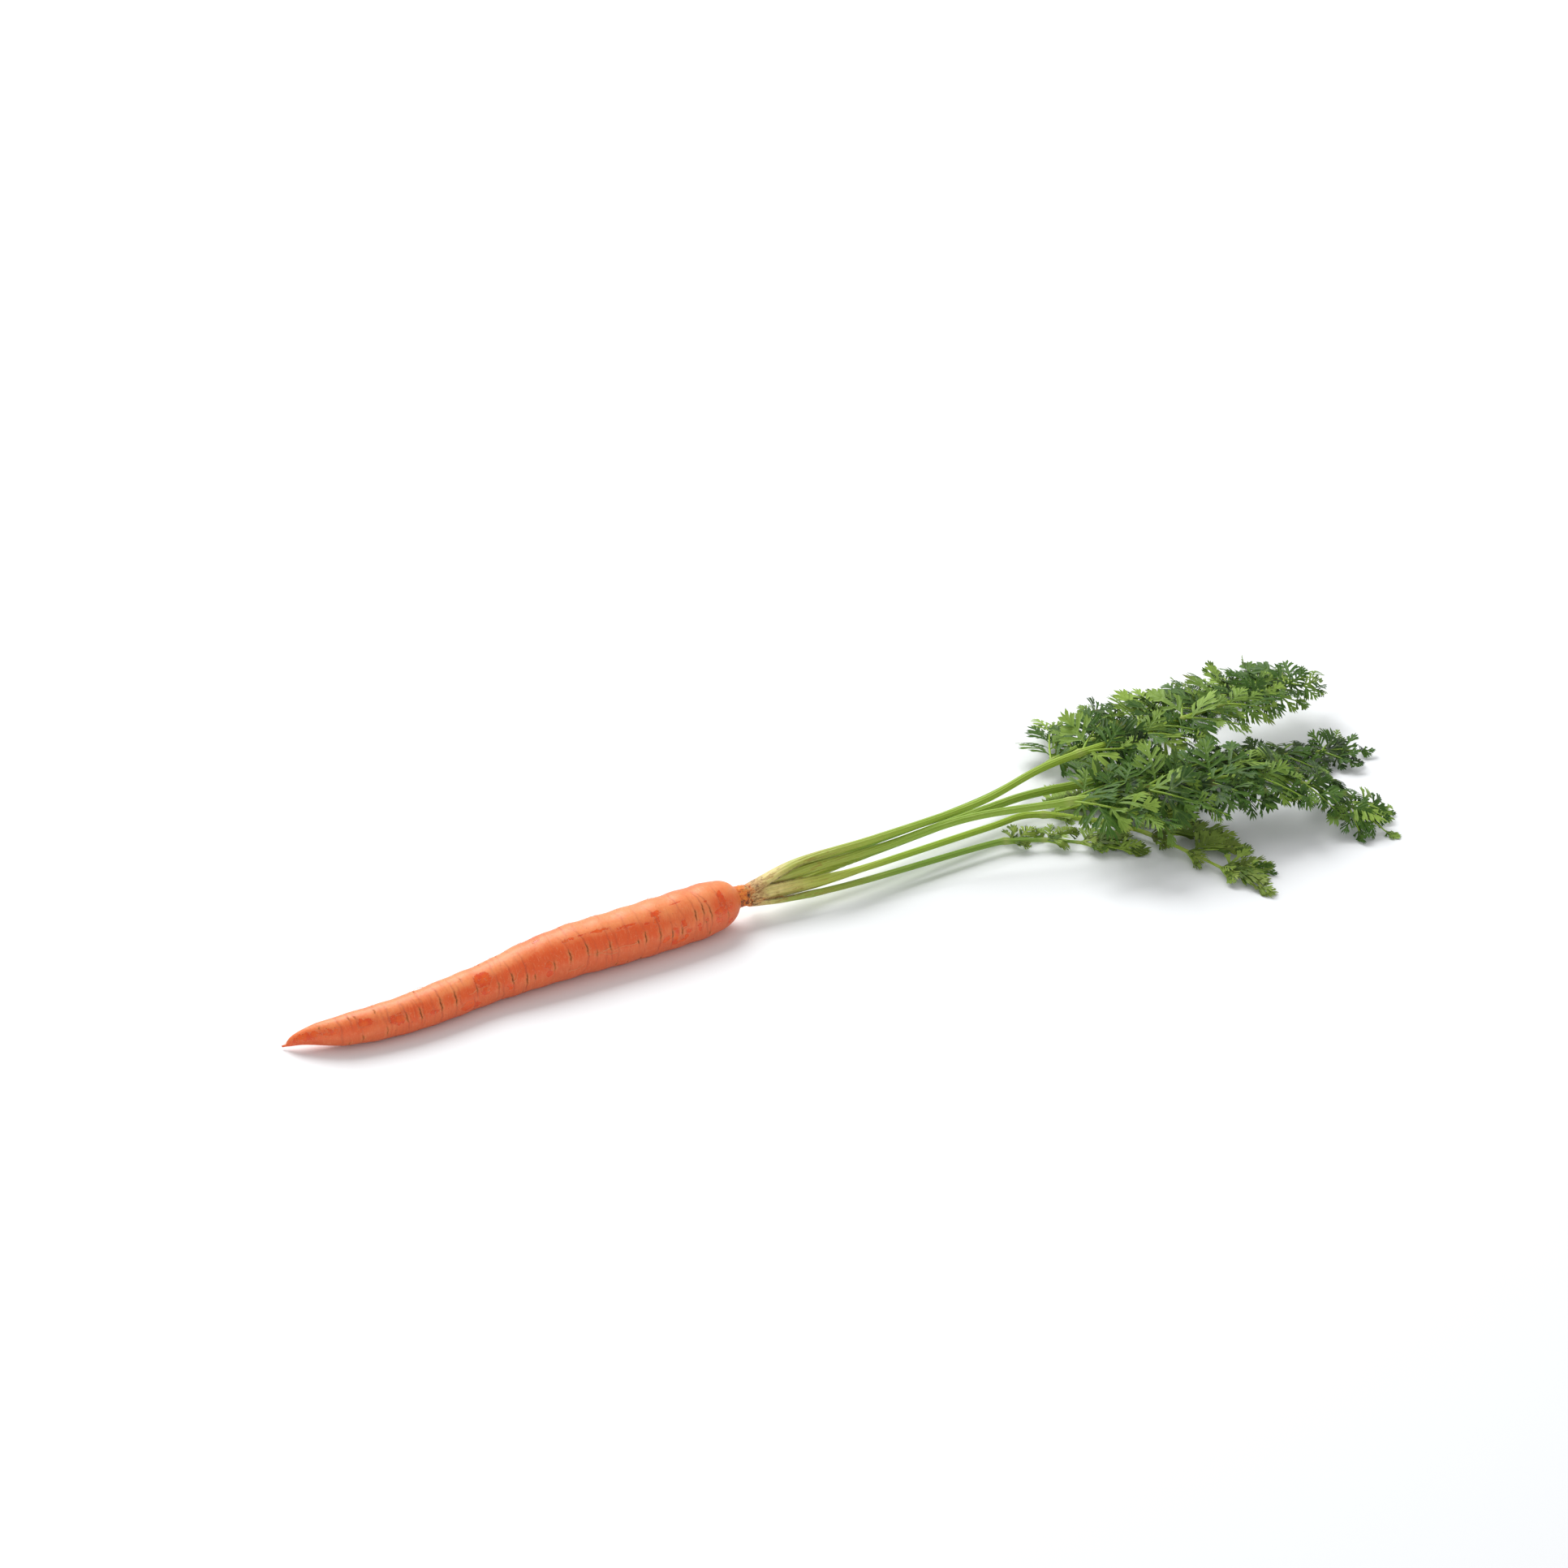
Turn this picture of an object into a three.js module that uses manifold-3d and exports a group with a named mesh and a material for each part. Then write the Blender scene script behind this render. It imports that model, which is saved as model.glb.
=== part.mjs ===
// A fresh carrot with its leafy top, lying on its side: one taproot with its crown, and six
// leaves. Millimetres, +Z up, +X from the root's tip towards the leaves. The origin is the
// middle of the flat spot that the root rests on, under its centre of weight.
import * as THREE from "three";
import { mergeVertices } from "three/addons/utils/BufferGeometryUtils.js";
import Module from "manifold-3d";

const wasm = await Module();
wasm.setup();

// ---- Driving dimensions --------------------------------------------------------------------

// The root: distance along X and radius, from the thread at its tip to the end of its crown.
const ROOT_PROFILE = [
  [-169, 0.45],
  [-167.5, 0.6],
  [-166.7, 1.3],
  [-165.6, 1.9],
  [-163.8, 2.5],
  [-159.3, 3.75],
  [-154.5, 5.0],
  [-145, 6.6],
  [-124, 7.8],
  [-100, 8.5],
  [-78, 8.8],
  [-60, 10.3],
  [-36, 11.4],
  [0, 11.9],
  [24, 11.8],
  [31.5, 11.2],
  [37, 9.9],
  [40.2, 8.2],
  [42.2, 6.2],
  [43.4, 5.1],
  [45.4, 4.7],
  [49, 5.1],
  [52.7, 5.6],
];
// Where the middle of the root runs: X, its sideways bend Y and its lift over lying flat.
const ROOT_AXIS = [
  [-169, 10.5, 0.9],
  [-162, 6.5, 2.4],
  [-145, -0.4, 0.9],
  [-115, -3.4, 0],
  [-76, -0.4, 0],
  [-40, 0, 0],
  [0, -1.2, 0],
  [24, -0.8, 0],
  [31.5, -0.6, 0.4],
  [37, -0.4, 1.8],
  [40.2, -0.2, 3.6],
  [42.2, -0.1, 5.6],
  [43.4, 0, 6.7],
  [45.4, 0, 7.1],
  [49, 0.1, 6.7],
  [52.7, 0.1, 6.1],
];
const ROOT_SIDES = 18;
const ROOT_RINGS = 38;
const RING_CROWDING = 0.09; // how much closer the rings stand towards both ends
const FLAT_SPOT_HALF_LENGTH = 22; // along X, either side of the origin
const FLAT_SPOT_END = 37; // where the underside is back to its own roundness
const FLAT_SPOT_PRESS = 0.62; // how far the root's underside is pressed flat there
const WAIST_DEPTH = 0.014; // share of the radius by which shallow waists cut in
const WAIST_PITCH = 13;
const WAIST_TWIST = 0.8; // how far each waist runs askew round the root
const WAISTS_FROM = [-160, -140]; // the waists fade in and out along X
const WAISTS_TO = [30, 42];

const BLADE_THICKNESS = 0.7;
const STALK_SIDES = 6;
const STALK_STEPS = 17;
const STALK_BASE_SHARE = 0.14; // share of its length in which the flat base turns round
const STALK_TURN_SHARE = 0.3; // and in which its upper side comes to face up
const STALK_TIP_RADIUS = 0.45;
const GROUND = BLADE_THICKNESS / 2; // lowest height of the middle of a blade
const LIMIT_SOFTNESS = 1.6; // how gently a blade levels out on what is under or over it

// Each leaf: `path` is the middle of its stalk and midrib, `section` the stalk's sideways and
// upright radius at its base and its radius where the blade starts, `out` the way the base
// faces from the middle of the crown, in degrees from +Y towards +Z. The blade starts at
// `bladeFrom` of the path's length, with `pairs` of pinnae. `left` and `right` hold the length
// of the first pinna on that side, then how far the pinnae spread from the midrib where the
// blade starts and ends. `sag` is the share of its length by which a pinna's tip hangs. The
// blade stays between `floor` and `ceiling`; past `floorEnd` the floor comes down to the
// ground. The two upper leaves lie over the other four.
const LEAVES = [
  {
    name: "leaf_upper_back",
    path: [
      [53.3, -0.4, 16.3], [76, -0.6, 20.8], [112, -6.5, 24.5], [165, -7.4, 27],
      [209, -1, 31], [268, 2, 31], [320, 10, 27], [372, 20, 21],
    ],
    section: [2.3, 1.2, 1.7],
    out: 90,
    bladeFrom: 0.54,
    pairs: 6,
    left: [54, 34, 28],
    right: [38, 14, 32],
    sag: 0.24,
    floor: 15,
    floorEnd: [392, 405],
    ceiling: 60,
  },
  {
    name: "leaf_upper_front",
    path: [
      [53.4, -0.9, 12.7], [76, -2.4, 16.8], [112, -8.5, 20.5], [156, -13, 24.6],
      [195, -26, 27], [230, -38, 29.5], [282, -49, 27], [306, -56, 21],
      [322, -66, 13], [332, -84, 5],
    ],
    section: [1.9, 1.1, 1.7],
    out: 180,
    bladeFrom: 0.5,
    pairs: 6,
    left: [80, 16, 26],
    right: [46, 30, 24],
    sag: 0.26,
    floor: 15,
    floorEnd: [286, 304],
    ceiling: 60,
  },
  {
    name: "leaf_middle",
    path: [
      [53.3, 1.9, 8.7], [76, -0.2, 11.4], [117, 2, 12.2], [178, 8.5, 11],
      [213, 10, 10], [270, 0, 9], [310, -7, 7], [364, -24, 5],
    ],
    section: [2.1, 1.2, 1.9],
    out: -70,
    bladeFrom: 0.57,
    pairs: 6,
    left: [26, 5, 30],
    right: [36, 13, 24],
    sag: 0.19,
    floor: 7.4,
    floorEnd: [262, 284],
    ceiling: 12.8,
  },
  {
    name: "leaf_front",
    path: [
      [53.3, -3.7, 11.7], [69, -5.4, 11.8], [102, -7.4, 11.6], [174, -1.2, 7.8],
      [200, 0.5, 6.2], [223, -15, 4.4], [237, -34, 4], [246, -62, 3.4],
      [253, -89, 2.8],
    ],
    section: [2.0, 1.15, 1.5],
    out: 175,
    bladeFrom: 0.6,
    pairs: 5,
    left: [48, 18, 24],
    right: [10, 4, 6],
    sag: 0.16,
    floor: GROUND,
    ceiling: 6,
  },
  {
    name: "leaf_front_short",
    path: [
      [53.5, -3, 7.4], [66, -7.6, 8.2], [100, -11.2, 7.9], [168, -10.6, 5.6],
      [182, -13.2, 4.9], [198, -21, 4.4], [211, -31, 3.6],
      [214.5, -35.5, 3.4],
    ],
    section: [1.7, 1.1, 1.4],
    out: -135,
    bladeFrom: 0.74,
    pairs: 3,
    left: [17, 8, 9],
    right: [9, 4, 4],
    sag: 0.16,
    floor: GROUND,
    ceiling: 6,
  },
  {
    name: "leaf_back",
    path: [
      [53.3, 3.4, 12.9], [78, 5.2, 13.6], [120, 8, 12.8], [179, 16, 11],
      [214, 26, 9.4], [260, 40, 8], [308, 48, 6], [377, 54, 4],
    ],
    section: [2.0, 1.15, 1.5],
    out: 12,
    bladeFrom: 0.56,
    pairs: 6,
    left: [44, 30, 28],
    right: [20, 6, 22],
    sag: 0.19,
    floor: GROUND,
    ceiling: 12.6,
  },
];

const PAIR_SPACING_POWER = 1.3; // pairs stand closer towards the leaf's tip
const PINNA_LEAST = 15;
const END_LEAFLETS_AT = 0.96; // share of the path where the leaf's own end starts
const END_LEAFLETS_LENGTH = 22;
const PINNA_TAPER_POWER = 0.9;
const SWEEP_LIMITS = [24, 50]; // degrees between a pinna and the midrib
const FORWARD_BEND = 0.2; // share of its length by which a pinna's tip bends forward
const PINNA_SHORTENING = 0.12; // share of its length that bending takes off its reach
const PINNA_RISE = 0.12; // slope at which a pinna leaves the midrib
const LEAFLET_PITCH = [9, 0.08, 14]; // millimetres, what each millimetre of pinna adds, and most
const LEAFLET_LENGTH = [7, 0.17, 15]; // the same, for the longest leaflet
const LEAFLET_TAPER = 0.45; // share by which the last leaflet is shorter than the first
const LEAFLET_SPAN = [0.2, 0.8]; // where the first and last leaflets stand along a pinna
const LEAFLET_ANGLE = [54, 28]; // degrees from the pinna's rib, first and last
const LOBED_FROM = 6.5; // shortest leaflet that has side lobes
const LEAFLET_HALF_WIDTH = [0.34, 0.4]; // most, as shares of its length and of the pitch
const RIB_HALF_WIDTH = 0.5;
const PINNA_ROOTED = 1.2; // how deep a pinna's rib runs into the midrib
const LOUVRE = 18; // degrees that a pinna rolls about its rib, so neighbours overlap like slats
const ARCH = 0.012; // how fast a blade falls away sideways from its rib
const SLIVER = 0.03; // edges this short, left where blades join, are closed up

// ---- Small helpers -------------------------------------------------------------------------

const radians = THREE.MathUtils.degToRad;
const UP = new THREE.Vector3(0, 0, 1);

// A repeatable draw between -1 and 1.
function vary(seed) {
  const s = Math.sin(seed * 12.9898 + 4.1414) * 43758.5453;
  return 2 * (s - Math.floor(s)) - 1;
}

function smoothStep(x, from, to) {
  const t = Math.min(1, Math.max(0, (x - from) / (to - from)));
  return t * t * (3 - 2 * t);
}

// The value of a table of [x, ...values] rows at x, on a smooth curve through the rows.
function tableAt(rows, x) {
  const last = rows.length - 1;
  let i = 0;
  while (i < last - 1 && x > rows[i + 1][0]) i++;
  const [a, b] = [rows[i], rows[i + 1]];
  const t = Math.min(1, Math.max(0, (x - a[0]) / (b[0] - a[0])));
  return a.slice(1).map((_, k) => {
    const slope = (m) => {
      const [l, r] = [rows[Math.max(0, m - 1)], rows[Math.min(last, m + 1)]];
      return ((r[k + 1] - l[k + 1]) / (r[0] - l[0])) * (b[0] - a[0]);
    };
    const [t2, t3] = [t * t, t * t * t];
    return (
      (2 * t3 - 3 * t2 + 1) * a[k + 1] +
      (t3 - 2 * t2 + t) * slope(i) +
      (3 * t2 - 2 * t3) * b[k + 1] +
      (t3 - t2) * slope(i + 1)
    );
  });
}

function softMax(z, low) {
  return 0.5 * (z + low + Math.hypot(z - low, LIMIT_SOFTNESS));
}

function grown([least, growth, most], length) {
  return Math.min(most, least + growth * length);
}

function solidOf(geometry) {
  const bare = geometry.clone();
  bare.deleteAttribute("normal");
  bare.deleteAttribute("uv");
  const merged = mergeVertices(bare, 1e-4);
  return new wasm.Manifold(
    new wasm.Mesh({
      numProp: 3,
      vertProperties: merged.attributes.position.array,
      triVerts: new Uint32Array(merged.index.array),
    }),
  );
}

function geometryOf(solid) {
  const mesh = solid.getMesh();
  const geometry = new THREE.BufferGeometry();
  geometry.setAttribute("position", new THREE.BufferAttribute(mesh.vertProperties, 3));
  geometry.setIndex(new THREE.BufferAttribute(mesh.triVerts, 1));
  geometry.computeVertexNormals();
  return geometry;
}

// ---- The root ------------------------------------------------------------------------------

// A lathe about X, carried onto the root's bent axis and pressed flat under the origin.
function rootGeometry() {
  const from = ROOT_PROFILE[0][0];
  const to = ROOT_PROFILE[ROOT_PROFILE.length - 1][0];
  const profile = [new THREE.Vector2(0, from)];
  for (let i = 0; i <= ROOT_RINGS; i++) {
    const share = i / ROOT_RINGS;
    const crowded = share - RING_CROWDING * Math.sin(2 * Math.PI * share);
    const x = THREE.MathUtils.lerp(from, to, crowded);
    profile.push(new THREE.Vector2(tableAt(ROOT_PROFILE, x)[0], x));
  }
  profile.push(new THREE.Vector2(0, to));
  const geometry = new THREE.LatheGeometry(profile, ROOT_SIDES);
  const position = geometry.attributes.position;
  for (let i = 0; i < position.count; i++) {
    const [upright, x, across] = [position.getX(i), position.getY(i), position.getZ(i)];
    const [radius] = tableAt(ROOT_PROFILE, x);
    const [bend, lift] = tableAt(ROOT_AXIS, x);
    const waisted = smoothStep(x, ...WAISTS_FROM) * (1 - smoothStep(x, ...WAISTS_TO));
    const phase = (2 * Math.PI * x) / WAIST_PITCH + WAIST_TWIST * Math.atan2(upright, across);
    const wave = 1 + WAIST_DEPTH * waisted * Math.sin(phase);
    const pressed = 1 - smoothStep(Math.abs(x), FLAT_SPOT_HALF_LENGTH, FLAT_SPOT_END);
    const middle = radius + lift - FLAT_SPOT_PRESS * pressed;
    position.setXYZ(i, x, bend + across * wave, Math.max(0, middle + upright * wave));
  }
  return geometry;
}

// ---- A leaf --------------------------------------------------------------------------------

// The stalk and midrib as one curve: its point, tangent, upper side and left-hand side at any
// share of its length.
function leafSpine(leaf) {
  const curve = new THREE.CatmullRomCurve3(
    leaf.path.map((p) => new THREE.Vector3(...p)),
    false,
    "catmullrom",
    0.5,
  );
  curve.arcLengthDivisions = 400;
  const faces = radians(leaf.out);
  const outward = new THREE.Vector3(0, Math.cos(faces), Math.sin(faces));
  return {
    at(share) {
      const point = curve.getPointAt(share);
      const tangent = curve.getTangentAt(share);
      const turn = smoothStep(share, 0, STALK_TURN_SHARE);
      const normal = outward.clone().lerp(UP, turn);
      normal.addScaledVector(tangent, -normal.dot(tangent)).normalize();
      const left = normal.clone().cross(tangent);
      return { point, tangent, normal, left };
    },
  };
}

// A tapering stalk: a cylinder carried onto the leaf's spine.
function stalkGeometry(leaf, spine) {
  const [wide, thick, bladeRadius] = leaf.section;
  const geometry = new THREE.CylinderGeometry(1, 1, 1, STALK_SIDES, STALK_STEPS);
  const position = geometry.attributes.position;
  for (let i = 0; i < position.count; i++) {
    const share = Math.min(1, Math.max(0, 0.5 - position.getY(i)));
    const { point, normal, left } = spine.at(share);
    const rounding = smoothStep(share, 0, STALK_BASE_SHARE);
    const taper = Math.max(0, (share - leaf.bladeFrom) / (1 - leaf.bladeFrom));
    const round = THREE.MathUtils.lerp(bladeRadius, STALK_TIP_RADIUS, taper ** 0.8);
    const across = THREE.MathUtils.lerp(wide, round, rounding);
    const upright = THREE.MathUtils.lerp(thick, round, rounding);
    point.addScaledVector(left, position.getX(i) * across);
    point.addScaledVector(normal, position.getZ(i) * upright);
    position.setXYZ(i, point.x, point.y, Math.max(0, point.z));
  }
  return geometry;
}

// One side of a pinna's outline: for each leaflet its base, its point with a lobe before and
// after it, and the notches between them. `side` is 1 for left and -1 for right.
function leafletSide(length, side, seed) {
  const [from, to] = LEAFLET_SPAN.map((share) => share * length);
  const count = Math.max(2, Math.round((to - from) / grown(LEAFLET_PITCH, length)) + 1);
  const pitch = (to - from) / (count - 1);
  const longest = grown(LEAFLET_LENGTH, length);
  const points = [];
  for (let j = 0; j < count; j++) {
    const share = j / (count - 1);
    const base = from + pitch * j;
    const size = longest * (1 - LEAFLET_TAPER * share) * (1 + 0.12 * vary(seed + 7 * j));
    const angle = radians(THREE.MathUtils.lerp(...LEAFLET_ANGLE, share) + 6 * vary(seed + 11 * j));
    const width = Math.min(LEAFLET_HALF_WIDTH[0] * size, LEAFLET_HALF_WIDTH[1] * pitch);
    const place = (along, off) => [
      base + along * size * Math.cos(angle) - off * width * Math.sin(angle),
      side * (RIB_HALF_WIDTH + along * size * Math.sin(angle) + off * width * Math.cos(angle)),
    ];
    points.push([base - 0.2 * width, side * RIB_HALF_WIDTH]);
    if (size > LOBED_FROM) {
      points.push(place(0.56, 1), place(0.6, 0.3), place(1, 0), place(0.55, -0.3), place(0.45, -0.95));
    } else {
      points.push(place(0.5, 0.8), place(1, 0), place(0.45, -0.8));
    }
    points.push([base + width, side * RIB_HALF_WIDTH]);
  }
  return points;
}

// The height of a blade's middle at p, levelled out between its leaf's floor and ceiling.
function betweenLimits(leaf, p) {
  const fallen = leaf.floorEnd ? smoothStep(p.x, ...leaf.floorEnd) : 0;
  const floor = THREE.MathUtils.lerp(leaf.floor, GROUND, fallen);
  return leaf.ceiling - softMax(leaf.ceiling - softMax(p.z, floor), 0);
}

// One pinna as a thin arched blade, its leaflets cut to the rib.
function pinnaGeometry(leaf, at, side, length, sweep, seed) {
  const left = leafletSide(length, 1, seed);
  const right = leafletSide(length, -1, seed + 40);
  const start = -PINNA_ROOTED;
  const outline = [
    [start, RIB_HALF_WIDTH],
    ...left,
    [length, 0],
    ...right.reverse(),
    [start, -RIB_HALF_WIDTH],
  ];
  const shape = new THREE.Shape(outline.map(([x, y]) => new THREE.Vector2(x, y)));
  const geometry = new THREE.ExtrudeGeometry(shape, { depth: BLADE_THICKNESS, bevelEnabled: false });

  const roll = radians(LOUVRE + 8 * vary(seed + 3));
  const outward = at.tangent.clone().multiplyScalar(Math.cos(sweep));
  outward.addScaledVector(at.left, side * Math.sin(sweep));
  outward.addScaledVector(UP, PINNA_RISE + 0.08 * vary(seed + 5));
  const rib = (u) => {
    const share = u / length;
    return at.point
      .clone()
      .addScaledVector(outward, u * (1 - PINNA_SHORTENING * share))
      .addScaledVector(at.tangent, FORWARD_BEND * u * share)
      .addScaledVector(UP, -leaf.sag * u * share);
  };
  const position = geometry.attributes.position;
  for (let i = 0; i < position.count; i++) {
    const [u, v, depth] = [position.getX(i), position.getY(i), position.getZ(i)];
    const tangent = rib(u + 0.5).sub(rib(u - 0.5)).normalize();
    const normal = UP.clone().addScaledVector(tangent, -UP.dot(tangent)).normalize();
    normal.applyAxisAngle(tangent, roll);
    const across = normal.clone().cross(tangent);
    const p = rib(u).addScaledVector(across, v).addScaledVector(normal, -ARCH * v * v);
    p.z = betweenLimits(leaf, p) + depth - BLADE_THICKNESS / 2;
    position.setXYZ(i, p.x, p.y, p.z);
  }
  return geometry;
}

function leafGeometry(leaf, number) {
  const spine = leafSpine(leaf);
  const solids = [solidOf(stalkGeometry(leaf, spine))];
  for (let i = 0; i < leaf.pairs; i++) {
    const along = 1 - (1 - i / leaf.pairs) ** PAIR_SPACING_POWER;
    for (const side of [1, -1]) {
      const [basal, roomFrom, roomTo] = side > 0 ? leaf.left : leaf.right;
      const seed = 100 * number + 10 * i + side;
      const tip = Math.min(PINNA_LEAST, basal);
      const length = tip + (basal - tip) * (1 - along) ** PINNA_TAPER_POWER;
      const own = length * (1 + 0.1 * vary(seed));
      const room = THREE.MathUtils.lerp(roomFrom, roomTo, along);
      const [least, most] = SWEEP_LIMITS.map(radians);
      const sweep = THREE.MathUtils.clamp(Math.asin(Math.min(1, room / own)), least, most);
      const at = spine.at(THREE.MathUtils.lerp(leaf.bladeFrom, 1, along + 0.012 * vary(seed + 2)));
      solids.push(solidOf(pinnaGeometry(leaf, at, side, own, sweep, seed)));
    }
  }
  const end = spine.at(END_LEAFLETS_AT);
  solids.push(solidOf(pinnaGeometry(leaf, end, 1, END_LEAFLETS_LENGTH, 0, 100 * number + 99)));
  return geometryOf(wasm.Manifold.union(solids).asOriginal().simplify(SLIVER));
}

// ---- The assembly --------------------------------------------------------------------------

const rootSkin = new THREE.MeshStandardMaterial({ color: 0xe8784a, roughness: 0.5, metalness: 0 });
const leafGreen = new THREE.MeshStandardMaterial({ color: 0x5d8f2e, roughness: 0.6, metalness: 0 });

const carrot = new THREE.Group();

const root = new THREE.Mesh(rootGeometry(), rootSkin);
root.name = "carrot_root";
carrot.add(root);

LEAVES.forEach((leaf, number) => {
  const mesh = new THREE.Mesh(leafGeometry(leaf, number + 1), leafGreen);
  mesh.name = leaf.name;
  carrot.add(mesh);
});

export default carrot;
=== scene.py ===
"""A fresh carrot with its leafy top, lying on a pale floor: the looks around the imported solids.

Sizes are in millimetres, as in the part's own source, and become metres in `Pieces.make`.
+X runs from the root's tip towards the leaves, +Z is up, and the origin is on the floor under
the root. One seeded hash makes every draw, so each run gives the same carrot.
"""
import math

import bpy
import numpy as np
from mathutils import Matrix, Vector, noise
from mathutils.bvhtree import BVHTree
from mathutils.geometry import delaunay_2d_cdt


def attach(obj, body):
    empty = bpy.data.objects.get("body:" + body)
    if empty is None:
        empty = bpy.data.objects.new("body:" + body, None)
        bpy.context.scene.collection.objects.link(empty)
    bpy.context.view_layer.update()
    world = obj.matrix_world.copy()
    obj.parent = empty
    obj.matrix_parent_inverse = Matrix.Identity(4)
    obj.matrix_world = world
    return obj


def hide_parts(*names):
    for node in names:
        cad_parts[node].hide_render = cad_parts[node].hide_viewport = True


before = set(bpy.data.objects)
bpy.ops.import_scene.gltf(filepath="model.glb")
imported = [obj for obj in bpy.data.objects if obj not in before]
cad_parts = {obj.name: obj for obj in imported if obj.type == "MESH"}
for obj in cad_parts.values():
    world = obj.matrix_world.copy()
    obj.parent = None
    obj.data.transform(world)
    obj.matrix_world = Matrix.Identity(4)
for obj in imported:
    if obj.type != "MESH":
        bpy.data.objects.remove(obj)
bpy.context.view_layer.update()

MM = 0.001

# ---- The camera ----

IMAGE_SIZE = 1932  # pixels, square
LENS = 85
SENSOR = 36
VIEW_AZIMUTH = -31
VIEW_ELEVATION = 30
VIEW_DISTANCE = 1590  # mm from the camera to the framed point, along the view
FRAMED_POINT = (-40, 0, 0)
FRAMED_PIXEL = (700, 1200)
FARTHEST_SEEN = 50  # m

# ---- Driving dimensions ----

# The root, the leaves' paths and how their pinnae stand repeat the part's own source.
# Distance along X and radius, from the thread at the root's tip to the end of its crown.
ROOT_PROFILE = [
    (-169, 0.45), (-167.5, 0.6), (-166.7, 1.3), (-165.6, 1.9), (-163.8, 2.5), (-159.3, 3.75),
    (-154.5, 5.0), (-145, 6.6), (-124, 7.8), (-100, 8.5), (-78, 8.8), (-60, 10.3), (-36, 11.4),
    (0, 11.9), (24, 11.8), (31.5, 11.2), (37, 9.9), (40.2, 8.2), (42.2, 6.2), (43.4, 5.1),
    (45.4, 4.7), (49, 5.1), (52.7, 5.6),
]
# X, sideways bend Y, and lift over lying flat.
ROOT_AXIS = [
    (-169, 10.5, 0.9), (-162, 6.5, 2.4), (-145, -0.4, 0.9), (-115, -3.4, 0), (-76, -0.4, 0),
    (-40, 0, 0), (0, -1.2, 0), (24, -0.8, 0), (31.5, -0.6, 0.4), (37, -0.4, 1.8),
    (40.2, -0.2, 3.6), (42.2, -0.1, 5.6), (43.4, 0, 6.7), (45.4, 0, 7.1), (49, 0.1, 6.7),
    (52.7, 0.1, 6.1),
]
WAIST_DEPTH = 0.014  # share of the radius by which shallow waists cut in
WAIST_PITCH = 13
WAIST_TWIST = 0.8
WAISTS_FROM = (-160, -140)  # X where the waists fade in, then out
WAISTS_TO = (30, 42)
FLAT_SPOT = (22, 37)  # X either side of the origin where the pressed underside fades out
FLAT_SPOT_PRESS = 0.62
CROWN_MIDDLE = (0.05, 11.7)  # Y and Z of its middle at its end
CROWN_FROM = 41.6  # X where the corky crown comes out of the skin
SKIN_TO = 43.1

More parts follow.
